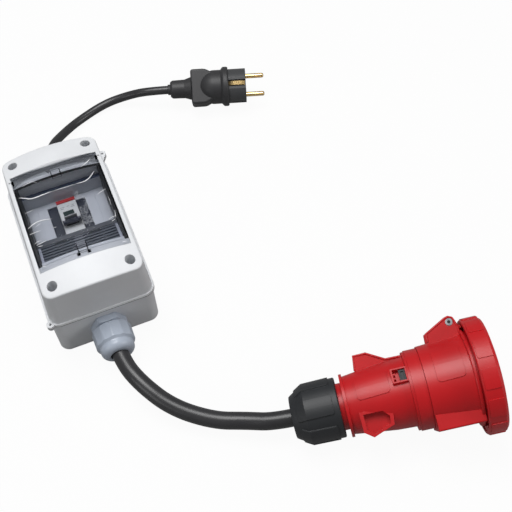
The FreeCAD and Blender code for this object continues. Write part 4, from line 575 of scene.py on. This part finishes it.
# Moulded finishes: real material, two shades, roughness, grain size and height in millimetres,
# then index of refraction and edge radius where they differ from the usual ones
MOULDED = {
    # filled polyamide: pale grey, nearly matte
    "grey_panel_plastic": ("pale grey moulded polyamide", "#d6d9de", "#dee1e6", 0.5, 0.6, 0.02),
    # the same in blue-black, a little smoother
    "dark_panel_plastic": ("blue-black moulded polyamide", "#242a38", "#2b3140", 0.4, 0.6, 0.02),
    # thermoset moulding of the breaker: off-white and dull
    "breaker_plastic": ("pale thermoset", "#e6e7e4", "#eeeeec", 0.4, 0.5, 0.01),
    # the toggle is polished by fingers
    "toggle_plastic": ("blue-black gloss polyamide", "#1c2130", "#232939", 0.25, 0.8, 0.01),
    # ribbed nut: near black, with broad dull highlights on its ribs
    "dark_grey_plastic": ("anthracite moulded polyamide", "#202225", "#26282b", 0.48, 0.6, 0.03),
    # glands: bluish grey beside the neutral box
    "gland_plastic": ("blue-grey gland polyamide", "#a8b1bf", "#b2bbc8", 0.34, 0.6, 0.02, 1.5,
                      0.12),
    # chloroprene sheath: black, smooth, with a soft long highlight
    "black_rubber": ("black chloroprene sheath", "#28282a", "#303032", 0.34, 1.2, 0.05, 1.52, 0.1),
    # soft plug body: black with worn, rounded edges
    "plug_rubber": ("black moulded rubber", "#2a2a2c", "#313133", 0.5, 0.7, 0.05, 1.52, 0.5),
    # seals: a dull dark line between two shells
    "seal_rubber": ("dark seal rubber", "#1a1a1a", "#222222", 0.6, 0.5, 0.03),
    # contact carriers: black, satin
    "insert_plastic": ("black insulating polyamide", "#3a3b3d", "#434446", 0.45, 0.6, 0.02),
    # PVC sheaths of the leads inside the box
    "brown_sheath": ("brown lead PVC", "#5a3522", "#643c28", 0.4, 0.8, 0.01),
    "blue_sheath": ("blue lead PVC", "#2a63a8", "#3370b8", 0.4, 0.8, 0.01),
    # printed ink on the breaker, and its small window
    "label_ink": ("red printed label", "#c92a2c", "#d63536", 0.45, 0.8, 0.01),
    "print_ink": ("grey print", "#8d9094", "#989b9f", 0.5, 0.8, 0.01),
    "indicator_window": ("dark green indicator", "#1d3230", "#26403c", 0.3, 0.8, 0.01),
    # folds of the film, some of them painted highlights for its glints: pale, bright where the
    # lamps catch them
    "film_fold": ("folded polyethylene film", "#f2f4f8", "#fafbfd", 0.3, 0.8, 0.01),
}


def make_materials():
    """Every finish of the lead, by the name of the record's slot that it dresses."""
    red = settings().coupler_red
    for slot, finish in MOULDED.items():
        MATERIALS[slot] = moulded(*finish)
    # ABS with a fine spark-eroded grain: even light grey, softly shining, with a painted highlight
    # on the seam's rim and a painted shadow in the gap below it
    MATERIALS["light_housing_plastic"] = repainted(
        moulded("light grey moulded ABS", "#dcdee1", "#e2e4e7", 0.42, 0.55, 0.02, 1.49, 0.6),
        housing_zones)
    # polystyrene frame of the well: pale grey, with painted shade on its step and ledge, painted
    # light on its far wall and black painted shadow on its side walls and top edges
    MATERIALS["frame_plastic"] = repainted(
        moulded("grey frame polystyrene", "#d6d9df", "#dde0e5", 0.45, 0.6, 0.02), well_zones)
    # ribbed guard of light grey plastic, painted mid grey for the shade in its recess, between
    # paler strips
    MATERIALS["shield_plastic"] = repainted(
        moulded("ribbed polyamide in painted shade", "#6b7078", "#747981", 0.45, 0.6, 0.02), shield_zones)
    # polyamide in signal red: satin gloss with broad soft highlights
    MATERIALS["red_plastic"] = moulded("signal red moulded polyamide", red_shade(red, 0.92),
                                       red_shade(red, 1.0), 0.4, 0.7, 0.02, 1.5, 0.25)
    # clear polycarbonate, smoked: greys the well behind it and shows the lamps
    MATERIALS["smoked_clear_plastic"] = smoked_sheet("smoked polycarbonate", "#f2f3f5", 0.06)
    MATERIALS["film"] = film_finish()
    # zinc plated steel: bright grey with patchy polish
    MATERIALS["zinc_steel"] = metal("zinc plated steel", "#b4b7bb", "#cdd0d4", 0.3, 3.0)
    # bare brass: warm and mirror-like
    MATERIALS["gold_brass"] = metal("polished brass", "#e4c283", "#ecce95", 0.18, 16.0)
    # the earth lead's two colours
    MATERIALS["green_yellow_sheath"] = two_colour_sheath("green and yellow lead PVC", "#d9c32a",
                                                         "#2f8a3f", 5.0)


# Property groups

class AdapterLeadSettings(bpy.types.PropertyGroup):
    """Sizes and colours that a user may change."""
    coupler_red: bpy.props.FloatVectorProperty(
        name="Coupler red", description="Colour of the coupler's shells", subtype="COLOR",
        size=4, min=0, max=1, default=linear("#c60f17"))
    floor_colour: bpy.props.FloatVectorProperty(
        name="Floor", description="Colour of the floor", subtype="COLOR",
        size=4, min=0, max=1, default=linear("#7c7c7c"))
    key_power: bpy.props.FloatProperty(
        name="Key light", description="Power of the large lamp above the object",
        default=19.5, min=0, unit="POWER")
    fill_power: bpy.props.FloatProperty(
        name="Fill light", description="Power of the lamp on the right; the left one has a share",
        default=8.0, min=0, unit="POWER")
    bead_width: bpy.props.FloatProperty(
        name="Bead width", description="Width of the beads on the coupler's fin and ears",
        default=0.0018, min=0.0002, unit="LENGTH")
    fold_width: bpy.props.FloatProperty(
        name="Fold width", description="Width of the folds in the door's film",
        default=0.0010, min=0.0001, unit="LENGTH")


# Operators

class LEAD_OT_stage(bpy.types.Operator):
    """Sets the camera, the floor and the lamps"""
    bl_idname = "lead.stage"
    bl_label = "Stage"

    def execute(self, context):
        self.add_camera(context)
        self.add_floor()
        self.add_lamps()
        self.add_world(context)
        context.scene.view_settings.view_transform = "Standard"
        return {"FINISHED"}

    def add_camera(self, context):
        """Camera where the photograph was taken from."""
        data = bpy.data.cameras.new("camera")
        camera = bpy.data.objects.new("camera", data)
        context.scene.collection.objects.link(camera)
        a, e = math.radians(CAMERA_AZIMUTH), math.radians(CAMERA_ELEVATION)
        back = Vector((math.sin(a) * math.cos(e), -math.cos(a) * math.cos(e), math.sin(e)))
        right = (-back).cross(Vector((0, 0, 1))).normalized()
        up = back.cross(right)
        turn = Matrix.Rotation(math.radians(CAMERA_ROLL), 4, "Z")
        matrix = Matrix((right, up, back)).transposed().to_4x4() @ turn
        matrix.translation = CAMERA_PLACE
        camera.matrix_world = matrix
        data.sensor_width = CAMERA_SENSOR
        data.sensor_fit = "HORIZONTAL"
        data.lens = CAMERA_LENS
        data.clip_end = 20
        context.scene.camera = camera

    def seen_rays(self, tree):
        """1 for rays that see the background, straight or through glass; less for mirrored ones."""
        rays = add_node(tree, "ShaderNodeLightPath").outputs
        seen = either(tree, rays["Is Camera Ray"], rays["Is Transmission Ray"])
        # metal mirrors a part of it: the pins stay bright and the red shells keep their colour
        return either(tree, seen, both(tree, rays["Is Glossy Ray"], MIRRORED_SHARE))

    def add_floor(self):
        """Pale floor that keeps the shadow and shows nearly white to the camera."""
        select_only()
        bpy.ops.mesh.primitive_plane_add(size=FLOOR_WIDTH)
        floor = bpy.context.object
        floor.name = "floor"
        material, tree, shader = new_material("pale painted floor")
        shader.inputs["Base Color"].default_value = settings().floor_colour
        shader.inputs["Roughness"].default_value = 0.7
        glow = add_node(tree, "ShaderNodeEmission", None,
                        {"Color": (1, 1, 1, 1), "Strength": FLOOR_GLOW})
        show_mix(tree, both(tree, self.seen_rays(tree), FLOOR_GLOW_SHARE),
                 shader.outputs["BSDF"], glow.outputs["Emission"])
        floor.data.materials.append(material)

    def add_lamps(self):
        """Large soft key overhead, a weak fill on the right and a weaker lamp on the left."""
        for name, place, target, size, setting, share in LAMPS:
            data = bpy.data.lights.new(name, "AREA")
            data.shape = "DISK"
            data.size = size
            data.energy = share * getattr(settings(), setting)
            lamp = bpy.data.objects.new(name, data)
            bpy.context.scene.collection.objects.link(lamp)
            turn = (Vector(target) - Vector(place)).to_track_quat("-Z", "Y")
            lamp.matrix_world = Matrix.Translation(place) @ turn.to_matrix().to_4x4()

    def add_world(self, context):
        """Even pale surroundings: white to the camera, softer as a light."""
        world = bpy.data.worlds.new("studio")
        context.scene.world = world
        world.use_nodes = True
        tree = world.node_tree
        tree.nodes.clear()
        strength = fitted(tree, self.seen_rays(tree), to_min=AMBIENT, to_max=1.0)
        back = add_node(tree, "ShaderNodeBackground", None,
                        {"Color": (1, 1, 1, 1), "Strength": strength})
        output = add_node(tree, "ShaderNodeOutputWorld")
        tree.links.new(back.outputs["Background"], output.inputs["Surface"])


class LEAD_OT_cables(bpy.types.Operator):
    """Lays the outlet and inlet cables along their routes"""
    bl_idname = "lead.cables"
    bl_label = "Cables"

    def execute(self, context):
        plug_pieces = [frame["nodes"][name] for name in
                       ("plug_housing", "plug_neck", "plug_insert", "plug_pins",
                        "plug_earth_clips")]
        outlet = route_points(OUTLET_ROUTE, COUPLER, OUTLET_HELD, OUTLET_LAST_RUN)
        inlet = route_points(INLET_ROUTE, PLUG, INLET_HELD, INLET_LAST_RUN)
        self.add_cable("outlet_sheath", outlet, OUTLET_DIAMETER, OUTLET_LENGTH, "outlet_cable",
                       "object", [])
        self.add_cable("inlet_sheath", inlet, INLET_DIAMETER, INLET_LENGTH, "inlet_cable",
                       "plug", plug_pieces)
        return {"FINISHED"}

    def add_cable(self, name, points, diameter_mm, length, node, far_end, pieces):
        """Round sheath on a smooth line through its route."""
        piece = round_line(name, "NURBS", points, diameter_mm * MM / 2, 10)
        piece.data.resolution_u = 24
        piece.data.use_fill_caps = True
        piece.data.materials.append(MATERIALS["black_rubber"])
        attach(piece, "lead")
        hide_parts(node)


class LEAD_OT_breaker_face(bpy.types.Operator):
    """Adds the plain label, the indicator and the small marks on the breaker's nose"""
    bl_idname = "lead.breaker_face"
    bl_label = "Breaker face"

    def execute(self, context):
        label = slab(*LABEL_SPAN, PRINT_Z - 1.0, PRINT_Z + 0.5, 0.2)
        finish_piece(label, "breaker_label", "label_ink", "lead")
        window = slab(*INDICATOR_SPAN, PRINT_Z, PRINT_Z + 0.5, 0.2)
        finish_piece(window, "breaker_indicator", "indicator_window", "lead")
        marks = [slab(*span, PRINT_Z, PRINT_Z + 0.12, 0.03) for span in MARK_SPANS]
        finish_piece(join(marks), "breaker_marks", "print_ink", "lead")
        return {"FINISHED"}


class LEAD_OT_well_shade(bpy.types.Operator):
    """Adds painted shadow: a black cord along the well's far edge and dark strips in the gaps
    beside the breaker
    """
    bl_idname = "lead.well_trim"
    bl_label = "Well shade"

    def execute(self, context):
        places = []
        for index in range(WELL_CORD_STEPS + 1):
            x = WELL_HALF_W * (2 * index / WELL_CORD_STEPS - 1)
            height = crown_height(x, FAR_WALL_TOP_Y) - WELL_CORD_DROP
            places.append((x * MM, (FAR_WALL_TOP_Y - WELL_CORD_BACK) * MM, height * MM))
        cord = made_mesh(round_line("well_shadow_line", "POLY", places, WELL_CORD_RADIUS * MM, 3))
        finish_piece(cord, "well_edge_shadow_cord", "seal_rubber", "lead")
        # dark strips of painted shadow where the gaps beside the breaker look into the box
        strips = [slab(*sorted(side * x for x in STRIP_X), *STRIP_BOX, 0.1) for side in (-1, 1)]
        finish_piece(join(strips), "panel_shadow_strips", "dark_panel_plastic", "lead")
        return {"FINISHED"}


class LEAD_OT_door_film(bpy.types.Operator):
    """Lays the protective film on the door, with its folds and painted glints"""
    bl_idname = "lead.door_film"
    bl_label = "Door film"

    # Folds of the film in plan, in millimetres, each with the share of the full width it has; some
    # stand for glints and glare on the film, as painted highlights
    FOLDS = (
        (0.7, ((-31.0, 37.8), (-25.7, 38.5), (-21.3, 38.5))),
        (0.5, ((-24.0, 40.4), (-21.2, 38.8), (-17.8, 35.0))),
        (1.0, ((-36.8, 26.8), (-32.6, 24.1), (-27.9, 20.1), (-21.8, 19.3), (-16.1, 19.6),
               (-8.7, 19.6))),
        (0.45, ((-8.7, 19.6), (-2.0, 19.4), (6.0, 19.2), (13.6, 19.6))),
        (0.9, ((13.6, 19.6), (19.6, 19.0), (25.3, 21.6), (29.1, 25.5), (32.0, 28.9))),
        (0.7, ((22.3, 37.5), (26.8, 39.7), (30.5, 43.0), (33.1, 45.1))),
        (0.9, ((27.5, 2.3), (31.4, 4.3), (35.7, 6.0))),
        (0.7, ((-35.7, 7.6), (-32.2, 7.8), (-28.5, 7.9))),
        (0.9, ((-37.4, -8.4), (-33.8, -6.6), (-28.4, -5.4), (-22.4, -6.1), (-16.0, -8.1))),
        (0.9, ((-37.6, -14.6), (-34.8, -14.1), (-27.8, -15.1))),
        (0.5, ((-31.4, -9.9), (-27.6, -8.5), (-25.8, -8.1))),
        (0.6, ((-17.1, -17.0), (-15.6, -17.5), (-14.6, -17.6))),
        (0.8, ((28.7, -25.9), (32.2, -23.6), (35.8, -23.9))),
        (0.7, ((30.7, -28.4), (32.4, -27.3), (34.4, -26.8))),
        (0.6, ((36.1, -18.0), (35.7, -22.0), (34.8, -25.6))),
        (0.4, ((35.1, -2.5), (35.7, -6.9), (34.9, -12.2))),
        (0.9, ((-36.2, -25.1), (-33.5, -23.3), (-29.9, -24.4))),
        (0.9, ((-35.1, -26.9), (-31.7, -26.7), (-26.0, -26.4))),
        (0.8, ((-33.9, -28.4), (-32.0, -29.2), (-30.0, -29.5))),
        (0.9, ((32.2, -50.0), (35.0, -49.3), (36.6, -50.3))),
        (0.8, ((-36.3, -47.2), (-34.5, -47.8), (-32.6, -47.9))),
    )

    def execute(self, context):
        self.add_film()
        folds = join([self.add_fold(*fold) for fold in self.FOLDS])
        finish_piece(folds, "film_folds_and_glints", "film_fold", "door")
        return {"FINISHED"}

    def add_film(self):
        """Thin sheet over the door, a hair above it."""
        select_only()
        bpy.ops.mesh.primitive_grid_add(x_subdivisions=36, y_subdivisions=48, size=1,
                                        location=[value * MM for value in FILM_START])
        film = bpy.context.object
        film.scale = (FILM_SIZE[0] * MM, FILM_SIZE[1] * MM, 1)
        bpy.ops.object.transform_apply(location=True, rotation=False, scale=True)
        cling = film.modifiers.new("cling", "SHRINKWRAP")
        cling.target = frame["nodes"]["door"]
        cling.wrap_method = "PROJECT"
        cling.use_project_z = True
        cling.use_positive_direction = False
        cling.use_negative_direction = True
        cling.offset = FILM_GAP * MM
        apply_modifiers(film)
        finish_piece(film, "door_film", "film", "door")

    def add_fold(self, share, points):
        """Narrow raised fold that tapers off at both ends."""
        places = [(x * MM, y * MM, (crown_height(x, y) - DOOR_DROP + FOLD_LIFT) * MM)
                  for x, y in points]
        fold = round_line("fold", "NURBS", places, settings().fold_width / 2 * share, 2)
        fold.data.resolution_u = 6
        line = fold.data.splines[0]
        for point in (line.points[0], line.points[-1]):
            point.radius = 0.25
        return made_mesh(fold)


class LEAD_OT_coupler_trim(bpy.types.Operator):
    """Adds the raised beads of the fin and the hinge ears, and the heads of the hinge pin with
    painted shade in their middles
    """
    bl_idname = "lead.coupler_trim"
    bl_label = "Coupler trim"

    # Outlines in millimetres: distance along the coupler and distance from its axis
    FIN = ((56.6, 26.0), (57.9, 38.2), (68.4, 38.2), (83.2, 29.9), (97.2, 29.6))
    EAR = ((119.9, 35.5), (120.1, 42.0), (137.5, 51.0), (140.5, 51.8), (143.6, 50.4),
           (144.8, 47.5), (146.6, 42.0), (146.4, 37.8))
    FIN_SIDE = 1.6
    EAR_SIDE = 10.0
    BEAD_OUT = 0.3
    HINGE = (140.5, 47.5)
    # The pin's head in millimetres: radius, height, width and depth of its rim; half width and
    # height of the dark square of painted shade in its middle
    HEAD_RADIUS, HEAD_HEIGHT = 2.9, 1.2
    RIM_WIDTH, RIM_DEPTH = 1.2, 1.0
    MIDDLE_HALF, MIDDLE_HEIGHT = 1.3, 0.2

    def execute(self, context):
        sides = (-1, 1)
        beads = [self.add_bead(outline, side * reach) for outline, reach in
                 ((self.FIN, self.FIN_SIDE), (self.EAR, self.EAR_SIDE)) for side in sides]
        finish_piece(join(beads), "coupler_beads", "red_plastic", "lead", COUPLER)
        heads = [self.add_pin_head(side) for side in sides]
        finish_piece(join(heads), "hinge_pin_heads", "zinc_steel", "lead", COUPLER)
        middles = [self.add_pin_middle(side) for side in sides]
        finish_piece(join(middles), "hinge_pin_hollow_shades", "seal_rubber", "lead", COUPLER)
        return {"FINISHED"}

    def add_bead(self, outline, y):
        """Half-round bead along an outline, on the face of a plate."""
        out = (y + math.copysign(self.BEAD_OUT, y)) * MM
        places = [(x * MM, out, z * MM) for x, z in outline]
        return made_mesh(round_line("bead", "POLY", places, settings().bead_width / 2, 2))

    def add_pin_head(self, side):
        """Turned head with a sunk middle, flat on the outside of an ear."""
        select_only()
        x, z = self.HINGE
        bpy.ops.mesh.primitive_cylinder_add(vertices=32, radius=self.HEAD_RADIUS * MM,
                                            depth=self.HEAD_HEIGHT * MM)
        head = bpy.context.object
        head.name = "head"
        bpy.ops.object.mode_set(mode="EDIT")
        bpy.ops.mesh.select_all(action="DESELECT")
        bpy.ops.object.mode_set(mode="OBJECT")
        top = max(head.data.polygons, key=lambda face: face.center.z)
        top.select = True
        bpy.ops.object.mode_set(mode="EDIT")
        bpy.ops.mesh.inset(thickness=self.RIM_WIDTH * MM)
        bpy.ops.mesh.extrude_region_move(
            TRANSFORM_OT_translate={"value": (0, 0, -self.RIM_DEPTH * MM)})
        bpy.ops.object.mode_set(mode="OBJECT")
        bevel = head.modifiers.new("turned edge", "BEVEL")
        bevel.width = 0.25 * MM
        bevel.segments = 3
        bevel.limit_method = "ANGLE"
        apply_modifiers(head)
        head.matrix_world = (Matrix.Translation(Vector((x, side * self.EAR_SIDE, z)) * MM)
                             @ Matrix.Rotation(-side * math.pi / 2, 4, "X"))
        bpy.ops.object.transform_apply(location=True, rotation=True, scale=True)
        return head

    def add_pin_middle(self, side):
        """Painted shade: a dark square in the middle of a head, for the shade in its sunk middle.
        """
        (x, z), half = self.HINGE, self.MIDDLE_HALF
        faces = sorted((side * self.EAR_SIDE, side * (self.EAR_SIDE + self.MIDDLE_HEIGHT)))
        return slab(x - half, x + half, *faces, z - half, z + half, 0.09)


class LEAD_OT_finishes(bpy.types.Operator):
    """Gives each moulded and metal piece its finish"""
    bl_idname = "lead.finishes"
    bl_label = "Finishes"

    def execute(self, context):
        slots = {entry["node"]: entry["material_slot"] for entry in frame["record"]["subparts"]}
        # the guard takes the shield finish, whose mid grey is painted shade on light grey plastic
        slots["lower_shield"] = "shield_plastic"
        for name, piece in frame["nodes"].items():
            piece.data.materials.clear()
            piece.data.materials.append(MATERIALS[slots[name]])
        return {"FINISHED"}


class LEAD_PT_panel(bpy.types.Panel):
    """Lists the lead's settings and the operators that make it"""
    bl_label = "Adapter lead"
    bl_idname = "LEAD_PT_panel"
    bl_space_type = "VIEW_3D"
    bl_region_type = "UI"
    bl_category = "Adapter lead"

    def draw(self, context):
        for name in AdapterLeadSettings.__annotations__:
            self.layout.prop(context.scene.adapter_lead, name)
        for operator in OPERATORS:
            self.layout.operator(operator.bl_idname)


OPERATORS = (LEAD_OT_stage, LEAD_OT_cables, LEAD_OT_finishes, LEAD_OT_breaker_face,
             LEAD_OT_coupler_trim, LEAD_OT_well_shade, LEAD_OT_door_film)
CLASSES = (AdapterLeadSettings,) + OPERATORS + (LEAD_PT_panel,)


def register():
    """Registers the classes and the settings."""
    for cls in CLASSES:
        bpy.utils.register_class(cls)
    bpy.types.Scene.adapter_lead = bpy.props.PointerProperty(type=AdapterLeadSettings)


def unregister():
    """Takes the settings and the classes away again."""
    del bpy.types.Scene.adapter_lead
    for cls in reversed(CLASSES):
        bpy.utils.unregister_class(cls)


def main():
    """Makes the whole scene in order."""
    register()
    make_materials()
    bpy.ops.lead.stage()
    bpy.ops.lead.cables()
    bpy.ops.lead.finishes()
    bpy.ops.lead.breaker_face()
    bpy.ops.lead.coupler_trim()
    bpy.ops.lead.well_trim()
    bpy.ops.lead.door_film()


if __name__ == "__main__":
    main()
